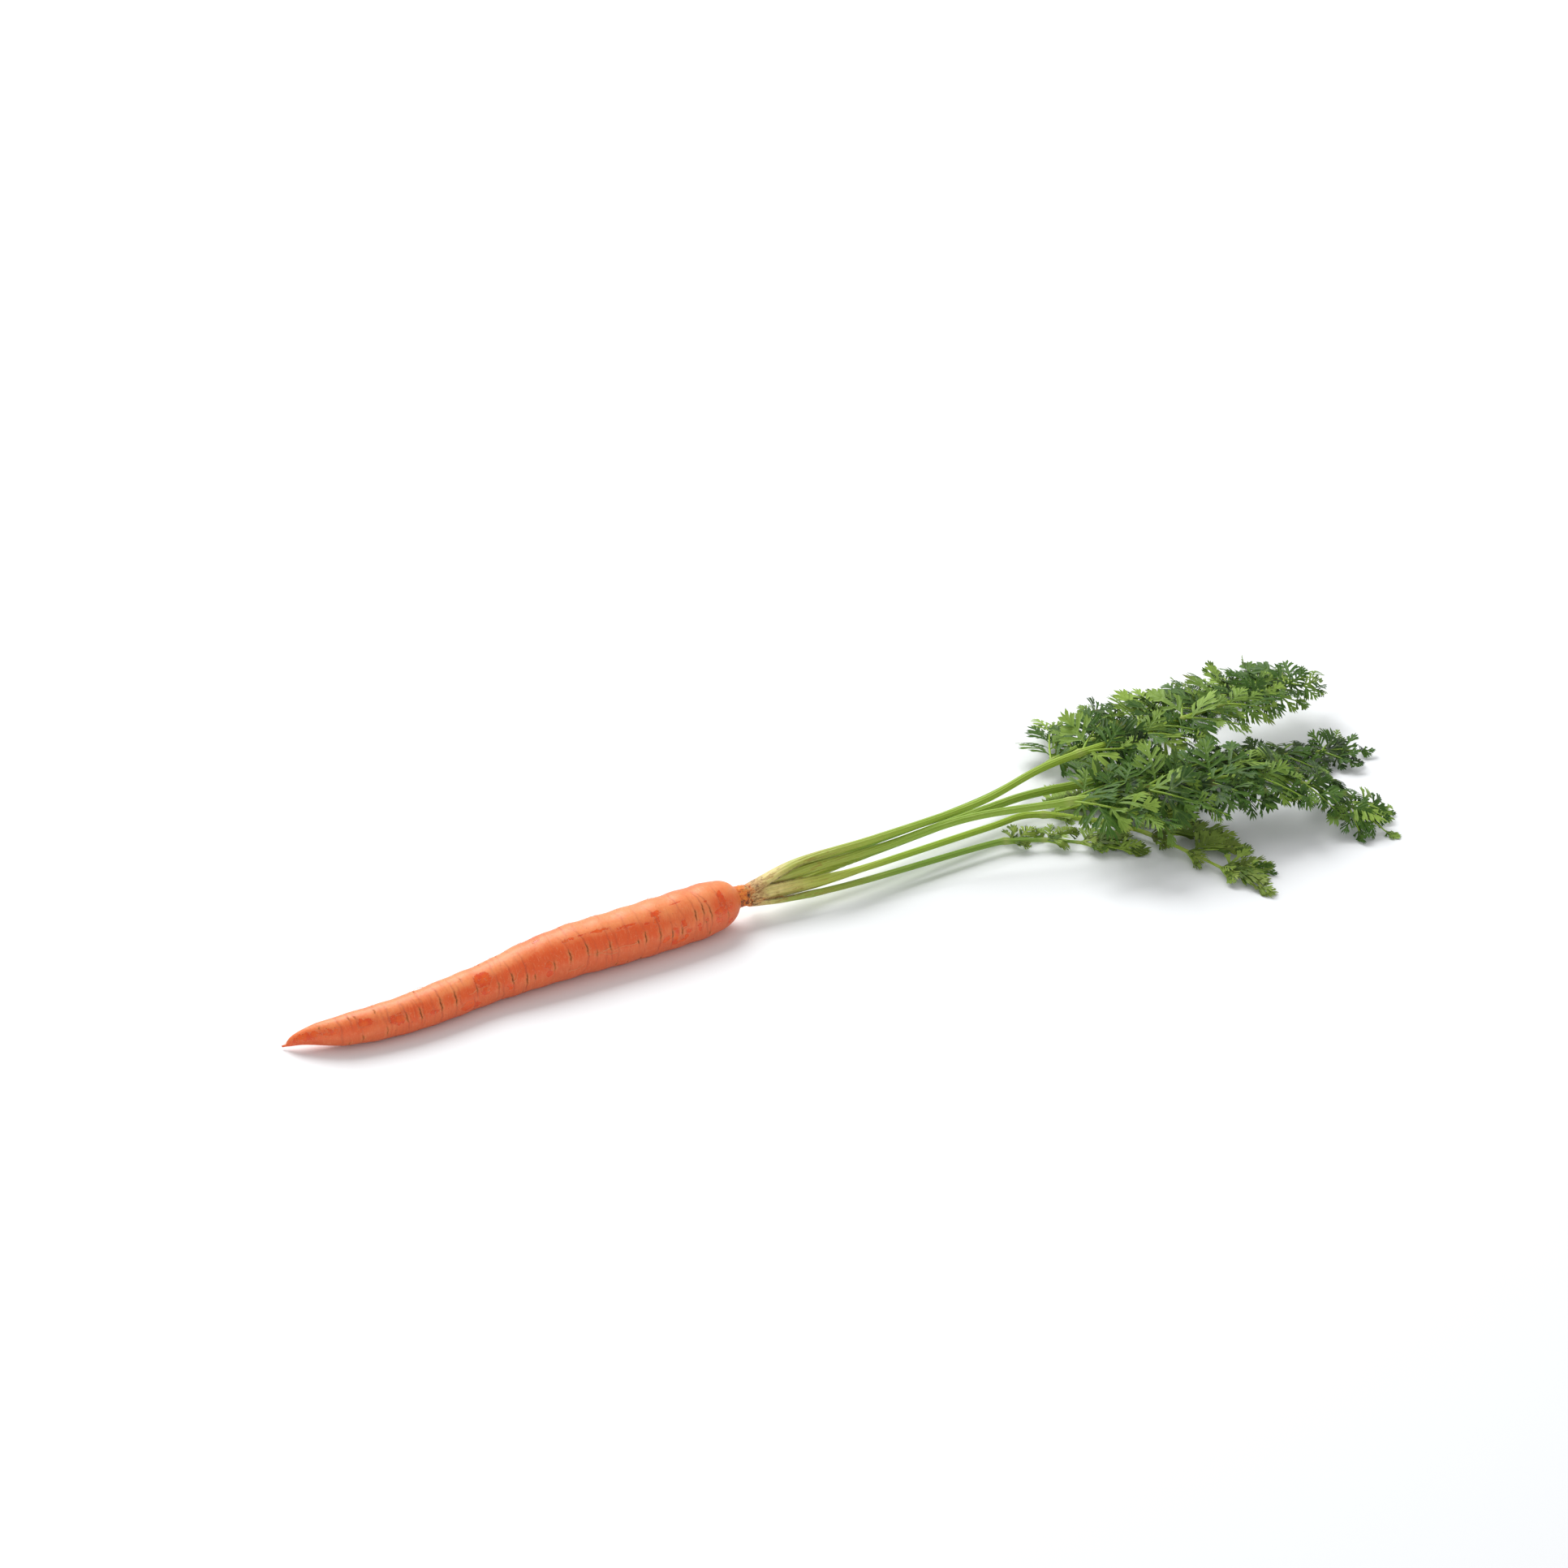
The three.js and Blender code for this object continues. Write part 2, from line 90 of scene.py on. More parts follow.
# A leaf: the path of its stalk and midrib; the half width and half thickness of its sheath and
# the radius of its stalk; what widens the sheath at the crown, and the distance to where it is
# round; the stalk's tone from deep to yellow green; the side that its base faces, in degrees
# from +Y towards +Z; the share of the path where its pinnae start, and how many pairs it has;
# on either side the lowest pinna's length and how far aside the first and last may reach; their
# sag; and the heights between which its blades stay, with X where the lower one drops away.
LEAVES = [
    dict(
        name="leaf_upper_back",
        path=[
            (53.3, -0.4, 16.3), (76, -0.6, 20.8), (112, -6.5, 24.5), (165, -7.4, 27),
            (209, -1, 31), (268, 2, 31), (320, 10, 27), (372, 20, 21),
        ],
        section=(2.3, 1.2, 1.7), sheath=(1.7, 50), stalk_tone=0.66, out=90, blade_from=0.54,
        pairs=6, left=(54, 34, 28), right=(38, 14, 32), sag=0.24, floor=15,
        floor_end=(392, 405), ceiling=60,
    ),
    dict(
        name="leaf_upper_front",
        path=[
            (53.4, -0.9, 12.7), (76, -2.4, 16.8), (112, -8.5, 20.5), (156, -13, 24.6),
            (195, -26, 27), (230, -38, 29.5), (282, -49, 27), (306, -56, 21),
            (322, -66, 13), (332, -84, 5),
        ],
        section=(1.9, 1.1, 1.7), sheath=(1.7, 56), stalk_tone=0.5, out=180, blade_from=0.5,
        pairs=6, left=(80, 16, 26), right=(46, 30, 24), sag=0.26, floor=15,
        floor_end=(286, 304), ceiling=60,
    ),
    dict(
        name="leaf_middle",
        path=[
            (53.3, 1.9, 8.7), (76, -0.2, 11.4), (117, 2, 12.2), (178, 8.5, 11),
            (213, 10, 10), (270, 0, 9), (310, -7, 7), (364, -24, 5),
        ],
        section=(2.1, 1.2, 1.9), sheath=(1.8, 52), stalk_tone=0.5, out=-70, blade_from=0.57,
        pairs=6, left=(26, 5, 30), right=(36, 13, 24), sag=0.19, floor=7.4,
        floor_end=(262, 284), ceiling=12.8,
    ),
    dict(
        name="leaf_front",
        path=[
            (53.3, -3.7, 11.7), (69, -5.4, 11.8), (102, -7.4, 11.6), (174, -1.2, 7.8),
            (200, 0.5, 6.2), (223, -15, 4.4), (237, -34, 4), (246, -62, 3.4),
            (253, -89, 2.8),
        ],
        # Its stalk's tone is raised as painted light, so that its sheath, sunk under the upper ones,
        # shows as brightly lit as theirs.
        section=(2.0, 1.15, 1.5), sheath=(2.0, 62), stalk_tone=0.8, out=175, blade_from=0.6,
        pairs=5, left=(48, 18, 24), right=(10, 4, 6), sag=0.16, floor=0.35, ceiling=6,
        folded=True,
    ),
    dict(
        name="leaf_front_short",
        path=[
            (53.5, -3, 7.4), (66, -7.6, 8.2), (100, -11.2, 7.9), (168, -10.6, 5.6),
            (182, -13.2, 4.9), (198, -21, 4.4), (211, -31, 3.6),
            (214.5, -35.5, 3.4),
        ],
        section=(1.7, 1.1, 1.4), sheath=(1.6, 40), stalk_tone=0.25, out=-135, blade_from=0.74,
        pairs=3, left=(17, 8, 9), right=(9, 4, 4), sag=0.16, floor=0.35, ceiling=6, folded=True,
    ),
    dict(
        name="leaf_back",
        path=[
            (53.3, 3.4, 12.9), (78, 5.2, 13.6), (120, 8, 12.8), (179, 16, 11),
            (214, 26, 9.4), (260, 40, 8), (308, 48, 6), (377, 54, 4),
        ],
        section=(2.0, 1.15, 1.5), sheath=(1.5, 44), stalk_tone=0.45, out=12, blade_from=0.56,
        pairs=6, left=(44, 30, 28), right=(20, 6, 22), sag=0.19, floor=0.35, ceiling=12.6,
    ),
]
PAIR_SPACING_POWER = 1.3  # pairs stand closer towards the leaf's tip
PINNA_LEAST = 15
PINNA_TAPER_POWER = 0.9
SWEEP_LIMITS = (24, 50)  # degrees between a pinna and the midrib
FORWARD_BEND = 0.2  # share of its length by which a pinna's tip bends forward
PINNA_SHORTENING = 0.12  # share of its length that bending takes off its reach
PINNA_RISE = 0.12  # slope at which a pinna leaves the midrib
END_LEAFLETS_AT = 0.96  # share of the path where the leaf's own end starts
END_LEAFLETS_LENGTH = 22
LEAFLET_TAPER = 0.45  # share by which the last leaflet is shorter than the first
LEAFLET_ANGLE = (54, 28)  # degrees from the pinna's rib, first and last
GROUND = 0.35  # lowest height of a blade
LIMIT_SOFTNESS = 1.6  # how gently a blade levels out on what is under or over it
STALK_TURN_SHARE = 0.3  # share of its length in which a stalk's upper side comes to face up
STALK_TIP_RADIUS = 0.45

# ---- What only the looks have: the root ----

ROOT_ROWS, ROOT_COLUMNS = 580, 140
CROWN_ROWS, CROWN_COLUMNS = 90, 120
SIGHT_ROWS, SIGHT_COLUMNS = 160, 60  # of the coarse root that pixels are traced onto
ROOT_LEAST_Z = 0.02
ROOT_SOFTNESS = 0.25  # how gently the root's underside levels out on the floor
RELIEF_FROM = (-160, -150)  # X where lumps and marks fade in, then out
RELIEF_TO = (35, 41.6)
LUMP_DEPTH = 0.13  # mm, slow swellings of the root
SCAR_DEPTH = 0.22  # mm, how deep a cross mark cuts in
SCAR_HALF_WIDTH = 0.36  # mm along the root
RIM_HEIGHT = 0.14
RIM_OFFSET, RIM_HALF_WIDTH = 0.75, 0.5  # mm from the middle of a cross mark
RING_DEPTH = 0.2
RING_HALF_WIDTH = 0.36
WRINKLES = 60  # faint rings round the root, besides those that run out from the cross marks
WRINKLE_SPAN = (-150, 38)  # X
WRINKLE_HALF_WIDTH = 0.4
# Marks that the camera doesn't see are drawn at random: first and last X, middle and spread of
# the degrees from +Y towards +Z, then their number and seed, and how each size is drawn.
HIDDEN_SPAN = (-156, 40)
HIDDEN_TURN = (-10, 72)
HIDDEN_SCARS = (46, 500, (5, 2.5, 900), (0.75, 0.25, 950))
HIDDEN_WORN = (60, 1700, (3, 2, 1200), (1.5, 1, 1300))
HIDDEN_THIN = (12, 3300, (12, 4, 3400), (4.5, 0, 0))
HIDDEN_HAIRS = (24, 2600)
WORN_SHARPNESS, WORN_MOST = 0.8, 0.82  # more would be bare all over
THIN_STEP, THIN_MOST = 0.32, 0.4

# Cross marks that the camera sees: pixel of the middle, then its length in mm and darkness.
SEEN_SCARS = [
    (393, 1267, 2, 0.7), (431, 1286, 3, 0.6), (429, 1255, 3, 0.5), (437, 1254, 3, 0.6),
    (448, 1279, 4, 0.8), (461, 1246, 4, 0.7), (478, 1271, 7, 0.6), (502, 1254, 6, 0.8),
    (519, 1249, 8, 1.0), (544, 1238, 8, 1.0), (562, 1230, 9, 1.0), (588, 1219, 3, 0.8),
    (615, 1215, 5, 0.7), (632, 1206, 7, 1.0), (650, 1207, 7, 1.0), (660, 1204, 4, 0.8),
    (684, 1190, 7, 0.8), (703, 1178, 8, 1.0), (724, 1169, 8, 0.9), (736, 1174, 4, 0.8),
    (752, 1164, 6, 0.9), (787, 1159, 3, 1.0), (796, 1154, 8, 1.0), (814, 1150, 8, 0.8),
    (829, 1150, 6, 0.9), (841, 1146, 5, 0.9), (857, 1126, 7, 1.0), (866, 1119, 7, 0.9),
    (876, 1123, 9, 0.8), (898, 1127, 6, 0.5), (875, 1149, 3, 0.9), (644, 1222, 3, 0.7),
    (760, 1187, 3, 0.9), (774, 1184, 3, 0.8), (790, 1180, 3, 0.9), (890, 1146, 2, 0.7),
    (567, 1207, 2, 0.5), (570, 1240, 2, 0.4), (697, 1160, 2, 0.4),
]
# Worn places where the pale film is gone: pixel of the middle, half length along the root and
# half width across it in mm.
SEEN_WORN = [
    (378, 1277, 5.5, 2), (410, 1271, 3, 1.4), (450, 1260, 4, 2),
    (490, 1256, 4, 2.5), (583, 1240, 5, 2), (597, 1209, 4, 3), (592, 1204, 3, 2),
    (630, 1214, 1.8, 3), (578, 1237, 3, 1.5), (677, 1189, 2, 2), (678, 1200, 1.5, 1.5),
    (771, 1141, 5, 1), (738, 1146, 4, 0.9), (717, 1152, 2, 0.5), (797, 1137, 1.5, 0.6),
    (806, 1125, 3, 1.3), (830, 1113, 4, 0.4), (822, 1156, 3, 2), (833, 1147, 2, 3.5),
    (843, 1136, 1.5, 2), (849, 1145, 1.6, 1.2), (863, 1142, 1.2, 2.4), (887, 1103, 1.5, 2.4),
    (891, 1118, 2.2, 3.6), (901, 1118, 1.6, 3.2), (886, 1132, 1.8, 1.6), (883, 1123, 1.2, 1),
    (832, 1161, 1.5, 1.2), (854, 1157, 1, 1), (869, 1110, 1, 0.7), (847, 1152, 1.5, 1.0),
    (600, 1222, 2.5, 1.2), (700, 1158, 3, 0.8), (660, 1160, 3, 0.7), (535, 1247, 3, 1.2),
    (809, 1133, 2, 1.2), (900, 1134, 1.2, 1.4), (871, 1131, 1, 1.4), (842, 1157, 1.5, 1),
]
# Broad places where the film is thin and the flesh shows through it, in the same way.
SEEN_THIN = [
    (385, 1276, 14, 4), (455, 1262, 12, 4), (520, 1245, 10, 4), (655, 1190, 14, 5),
    (700, 1172, 16, 5), (750, 1158, 16, 4), (790, 1148, 12, 4), (890, 1120, 6, 6),
    (575, 1225, 12, 4), (620, 1205, 10, 5),
]
# Dry husks round the crown: angle from +Y towards +Z, X where one starts, length, half width.
BRACTS = [
    (206, 49.2, 16, 1.7), (238, 48.6, 8, 1.0), (10, 48.6, 9, 1.6), (-40, 48.5, 8, 1.5),
]
BRACT_ROWS, BRACT_SIDES = 14, 10
BRACT_FLATNESS = 0.16
BRACT_REACH = (5.0, 6.6)  # mm from the crown's middle, at their foot and tip
BRACT_ROUGHNESS = 0.22
# Dark hollows in the corky crown: pixel of the middle and radius in mm.
CROWN_PITS = [(923, 1103, 1.5), (915, 1114, 2.2), (927, 1110, 1.2), (909, 1107, 0.8), (921, 1112, 1.6)]
PIT_DEPTH = 0.4
CORK_DEPTH, CORK_FROM = 0.45, (0.15, 0.3)  # how rough it is, from these shares of its length
CROWN_NARROWING, CROWN_NARROWS_AT = 0.3, (0.45, 0.9)  # towards its end, likewise
CROWN_STEP, CROWN_STEP_AT = 0.3, (42.6, 43.4)  # where it swells out of the skin
# Fine root hairs: from a pixel on the root to another, with the height of their arch in mm.
SEEN_HAIRS = [
    (786, 1159, 752, 1170, 0.35), (752, 1166, 737, 1174, 0.3), (752, 1167, 739, 1172, 0.5),
    (760, 1172, 724, 1176, 0.3), (588, 1219, 578, 1226, 1.0), (841, 1143, 852, 1132, 0.3),
    (633, 1210, 640, 1196, 0.4), (655, 1163, 664, 1157, 0.6), (700, 1197, 722, 1188, 0.3),
    (356, 1282, 352, 1277, 0.4), (446, 1279, 441, 1286, 0.3), (812, 1098, 818, 1094, 1.2),
]
HAIR_ROWS, HAIR_SIDES = 14, 5
HAIR_RADII = (0.09, 0.035)
HAIR_CLEARANCE = 0.05  # mm over the skin at both ends
HAIR_UP = np.array([0.1, 0.2, 1.0])  # any direction that no hair runs in

# ---- What only the looks have: the leaves ----

UP = np.array([0, 0, 1.0])
STALK, BLADE = 0, 1  # order of a leaf's materials
LEAF_KEYS = ("along", "rib", "tone", "edge", "node", "across", "dry")
SPINE_STEPS = 60  # between two points of a path
STALK_ROWS, STALK_SIDES = 130, 44
STALK_LEAST_Z, STALK_SOFTNESS = 0.05, 0.2
STALK_RIBS, RIB_DEPTH = 11, 0.045  # share of the radius
SHEATH_ROWS = 16  # in front of the stalk's own, down to the crown
SHEATH_FROM = 47.6  # X where a leaf's sheath grows out of the crown
SHEATH_HUG = 0.72  # how far the feet of the sheaths are drawn together there
SHEATH_MIDDLE = (0.1, 12.1)  # Y and Z between the starts of the paths
SHEATH_OPENING = (-0.2, 2.5)  # mm along it where its closed foot widens
SHEATH_KEPT = 4  # mm along it where it starts to turn round
SHEATH_WRAP = 0.3  # how far the sheath's edges bend round the crown, share of its half width
EDGE_FADE = (20, 60)  # mm along the stalk where the sheath's brown edges end
NODE_SWELLING, NODE_HALF_LENGTH = 0.28, 1.8  # where a pair of pinnae leaves the midrib
LOBE_FOLD = 0.35  # how steeply a lobe rises to its edges
LOBE_WIDEST = 0.62  # share of its length
TEMPLATE_COUNT = 8  # differently cut leaflets
BETWEEN_LENGTH = 0.6  # of the small branches that the solids leave out, between two pairs
BETWEEN_PAINTED_SHADE = 0.22  # painted shade: how much darker they are than the longer pairs round them
PINNA_ROWS, PINNA_SIDES = 18, 7
PINNA_RADII = (0.62, 0.25)
PINNA_ALONG = 140  # mm along the stalk, past its sheath, whose green they share
LEAFLET_PITCH = 6.2  # mm between leaflets along one side of a pinna
LEAFLET_LENGTH = (10.5, 0.2, 20)  # mm, what each mm of pinna adds, and most
LEAFLET_SPAN = (0.12, 0.8)  # where the first and last leaflets stand along a pinna
LEAFLET_TILT = 38  # degrees at most, sideways
LEAFLET_LIFT = (8, 18)  # degrees that its tip points up: middle and spread
LEAFLET_CURL = (0.28, 0.4)  # how far its tip curls down, in the same way
LEAFLET_DROOP = 0.6  # how far its sides curl down
LEAFLET_TWIST = 0.6
LEAFLET_TONE_SPREAD = 0.3
DRY_TIP, DRY_TIP_FROM, DRY_TIP_ABOVE = 0.75, (0.75, 1.1), 0.82  # few draws are above it
# Degrees that a pinna rolls about its rib, and factors of its leaflets' length, pitch and angle.
# Those of the folded fronds stand up, all on one side of the ribs, and have wilted paler.
OPEN = dict(roll=18, length=1, pitch=1, angle=1)
FOLDED = dict(roll=50, length=1.15, pitch=0.75, angle=0.8)
FOLDED_PALER = 0.14

# ---- What only the looks have: the floor and light ----

FLOOR_HALF_WIDTH = 6000
SKY_STRENGTH = 0.6
# Place and size in metres, and power in watts, of the lights that are aimed at the lit point.
LIGHTS = {"key": ((0.15, 1.42, 1.55), 1.4, 46), "fill": ((-1.1, -1.85, 1.0), 1.4, 5)}
LIT_POINT = (0.1, 0, 0)

# ---- Small helpers ----


def vary(seed):
    """A repeatable draw between -1 and 1."""
    s = math.sin(seed * 12.9898 + 4.1414) * 43758.5453
    return 2 * (s - math.floor(s)) - 1


def drawn(middle, spread, seed):
    return middle + spread * vary(seed)


def lerp(a, b, t):
    return a + (b - a) * t


def smooth_step(x, low, high):
    t = np.clip((x - low) / (high - low), 0, 1)
    return t * t * (3 - 2 * t)


def hermite(a, b, slope_a, slope_b, t):
    """A smooth curve from a to b with these slopes at its ends."""
    t2, t3 = t**2, t**3
    start = (2 * t3 - 3 * t2 + 1) * a + (t3 - 2 * t2 + t) * slope_a
    return start + (3 * t2 - 2 * t3) * b + (t3 - t2) * slope_b


def table_at(rows, x):
    """The values of a table of (x, ...values) rows at an array x, on a smooth curve."""
    rows = np.array(rows, float)
    wide = rows[[0, *range(len(rows)), -1]]
    slopes = (wide[2:, 1:] - wide[:-2, 1:]) / (wide[2:, :1] - wide[:-2, :1])
    i = np.clip(np.searchsorted(rows[:, 0], x) - 1, 0, len(rows) - 2)
    step = np.asarray(rows[i + 1, 0] - rows[i, 0])[..., None]
    t = np.clip((x - rows[i, 0])[..., None] / step, 0, 1)
    return hermite(rows[i, 1:], rows[i + 1, 1:], slopes[i] * step, slopes[i + 1] * step, t)


def soft_max(z, low, softness=LIMIT_SOFTNESS):
    return 0.5 * (z + low + np.hypot(z - low, softness))


def unit(v):
    return v / np.linalg.norm(v, axis=-1, keepdims=True)


def square_to(tangents, normals):
    """The normals turned at right angles to the tangents."""
    return unit(normals - (normals * tangents).sum(-1, keepdims=True) * tangents)


def bell(x, half_width, power=2):
    """1 where x is 0, and fading away past the half width."""
    return np.exp(-((x / half_width) ** power))


def turns(count):
    """Angles all the way round, in equal steps."""
    return np.arange(count) / count * 2 * math.pi


def noise_at(points, size, seed):
    """Smooth noise, about -1 to 1, at points in mm, with features about `size` mm across."""
    shift = Vector((seed * 7.3, seed * 3.1, seed * 5.7))
    flat = np.reshape(points, (-1, 3))
    values = np.array([noise.noise(Vector(p) / size + shift) for p in flat])
    return values.reshape(np.shape(points)[:-1])


def grid_faces(rows, columns):
    """Quads over rings of vertices, row by row."""
    r, c = np.meshgrid(np.arange(rows - 1) * columns, np.arange(columns), indexing="ij")
    right = (c + 1) % columns
    quads = [r + c, r + right, r + columns + right, r + columns + c]
    return np.stack(quads, axis=-1).reshape(-1, 4)


def new_object(name, data):
    thing = bpy.data.objects.new(name, data)
    bpy.context.scene.collection.objects.link(thing)
    return thing


class Pieces:
    """Collects faces with float attributes, then makes one smooth-shaded object of them."""

    def __init__(self, name, *keys):
        self.name = name
        self.vertices, self.faces, self.kinds = [], [], []
        self.values = {key: [] for key in keys}
        self.count = 0

    def add(self, vertices, faces, kind=0, **values):
        """Adds vertices in mm and faces that all have as many corners; kind is the material."""
        self.vertices.append(vertices)
        self.faces.append(faces + self.count)
        self.kinds.append(np.full(len(faces), kind))
        for key, parts in self.values.items():
            value = np.asarray(values.get(key, 0.0), float)
            parts.append(np.broadcast_to(value, (len(vertices),)))
        self.count += len(vertices)

    def add_rings(self, points, kind=0, **values):
        """Adds a skin over rings of points, with values for all, for each ring or each point."""
        rows, columns = points.shape[:2]
        spread = {k: np.broadcast_to(v, (rows, columns)).ravel() for k, v in values.items()}
        self.add(points.reshape(-1, 3), grid_faces(rows, columns), kind, **spread)

    def make(self, *materials):
        mesh = bpy.data.meshes.new(self.name)
        corners = np.concatenate([np.full(len(part), part.shape[1]) for part in self.faces])
        indices = np.concatenate([part.ravel() for part in self.faces])
        mesh.vertices.add(self.count)
        mesh.vertices.foreach_set("co", (np.concatenate(self.vertices) * MM).ravel())
        mesh.loops.add(len(indices))
        mesh.loops.foreach_set("vertex_index", indices)
        mesh.polygons.add(len(corners))
        mesh.polygons.foreach_set("loop_start", np.cumsum(corners) - corners)
        mesh.polygons.foreach_set("use_smooth", np.ones(len(corners), bool))
        for key, parts in self.values.items():
            layer = mesh.attributes.new(key, "FLOAT", "POINT")
            layer.data.foreach_set("value", np.concatenate(parts).astype(np.float32))
        for material in materials:
            mesh.materials.append(material)
        mesh.polygons.foreach_set("material_index", np.concatenate(self.kinds))
        mesh.update()
        mesh.validate()
        return new_object(self.name, mesh)


# ---- Camera rays ----


def view_slope(pixel):
    """How far right and up of the view's middle a pixel looks, a unit of depth away."""
    focal = LENS / SENSOR * IMAGE_SIZE
    return (pixel[0] - IMAGE_SIZE / 2) / focal, (IMAGE_SIZE / 2 - pixel[1]) / focal


def camera_frame():
    """The camera's place in mm, and its right, up and backward directions."""
    a, e = math.radians(VIEW_AZIMUTH), math.radians(VIEW_ELEVATION)
    back = np.array([math.sin(a) * math.cos(e), -math.cos(a) * math.cos(e), math.sin(e)])
    right = np.array([math.cos(a), math.sin(a), 0])
    up = np.cross(back, right)
    dx, dy = view_slope(FRAMED_PIXEL)
    place = np.array(FRAMED_POINT) - VIEW_DISTANCE * (-back + dx * right + dy * up)
    return place, right, up, back


def pixel_ray(pixel):
    place, right, up, back = camera_frame()
    dx, dy = view_slope(pixel)
    return place, unit(-back + dx * right + dy * up)


def make_camera():
    place, right, up, back = camera_frame()
    data = bpy.data.cameras.new("camera")
    data.lens = LENS
    data.sensor_width = SENSOR
    data.clip_end = FARTHEST_SEEN
    camera = new_object("camera", data)
    camera.matrix_world = Matrix(
        [[right[i], up[i], back[i], place[i] * MM] for i in range(3)] + [[0, 0, 0, 1]]
    )
    bpy.context.scene.camera = camera


# ---- Materials ----


def srgb(red, green, blue):
    """A linear colour from the 0 to 255 values that a screen shows."""
    parts = [v / 255 for v in (red, green, blue)]
    return tuple(v / 12.92 if v <= 0.04045 else ((v + 0.055) / 1.055) ** 2.4 for v in parts) + (1,)


class Shader:
    """A material's nodes. A colour is a socket, or red, green and blue from 0 to 255."""

    def __init__(self, name):
        self.material = bpy.data.materials.new(name)
        self.material.use_nodes = True
        self.tree = self.material.node_tree
        self.base = self.tree.nodes["Principled BSDF"]
        self.place = self.new("ShaderNodeTexCoord", "Object")

    def new(self, kind, output=0, inputs=None, **settings):
        """An output of a new node, whose inputs are given sockets or values."""
        node = self.tree.nodes.new(kind)
        for key, value in settings.items():
            setattr(node, key, value)
        for key, source in (inputs or {}).items():
            self.link(source, node.inputs[key])
        return node.outputs[output]

    def link(self, source, socket):
        if isinstance(source, bpy.types.NodeSocket):
            self.tree.links.new(source, socket)
        else:
            socket.default_value = srgb(*source) if isinstance(source, tuple) else source

    def attribute(self, name):
        return self.new("ShaderNodeAttribute", "Fac", attribute_name=name)

    def math(self, operation, a, b):
        return self.new("ShaderNodeMath", 0, {0: a, 1: b}, operation=operation)

    def plus(self, a, b):
        return self.math("ADD", a, b)

    def minus(self, a, b):
        return self.math("SUBTRACT", a, b)

    def times(self, a, b):
        return self.math("MULTIPLY", a, b)

    def ramp(self, value, low, high, to_low=0.0, to_high=1.0):
        """`value` taken smoothly from the range low..high to the range to_low..to_high."""
        inputs = dict(enumerate((value, low, high, to_low, to_high)))
        return self.new("ShaderNodeMapRange", 0, inputs, interpolation_type="SMOOTHSTEP")

    def noise(self, size, detail=2.0, roughness=0.5, stretch=None):
        """Noise from 0 to 1, its features about `size` mm across, over `stretch` on each axis."""
        inputs = {"Vector": self.place, "Scale": 1 / MM / size}
        if stretch:
            mapping = {"Vector": self.place, "Scale": [v / MM for v in stretch]}
            inputs = {"Vector": self.new("ShaderNodeMapping", 0, mapping), "Scale": 1 / size}
        inputs.update(Detail=detail, Roughness=roughness)
        return self.new("ShaderNodeTexNoise", "Fac", inputs)

    def cells(self, size):
        """Distance from the nearest of scattered points about `size` mm apart."""
        inputs = {"Vector": self.place, "Scale": 1 / (size * MM)}
        return self.new("ShaderNodeTexVoronoi", "Distance", inputs)

    def mix(self, share, a, b):
        inputs = {"Factor": share, "A": a, "B": b}
        return self.new("ShaderNodeMix", "Result", inputs, data_type="RGBA")

    def tint(self, colour, share, most, over):
        return self.mix(self.times(share, most), colour, over)

    def layers(self, colour, *rows):
        """Colours laid over the first in turn, up to `most` where a value is at `high`."""
        for value, low, high, most, over in rows:
            colour = self.mix(self.ramp(value, low, high, 0, most), colour, over)
        return colour

    def bump(self, height, distance):
        inputs = {"Strength": 1, "Distance": distance * MM, "Height": height}
        self.link(self.new("ShaderNodeBump", 0, inputs), self.base.inputs["Normal"])

    def set(self, **constants):
        for key, value in constants.items():
            self.base.inputs[key.replace("_", " ")].default_value = value

    def finish(self, colour, roughness):
        self.link(colour, self.base.inputs["Base Color"])
        self.link(roughness, self.base.inputs["Roughness"])
        return self.material


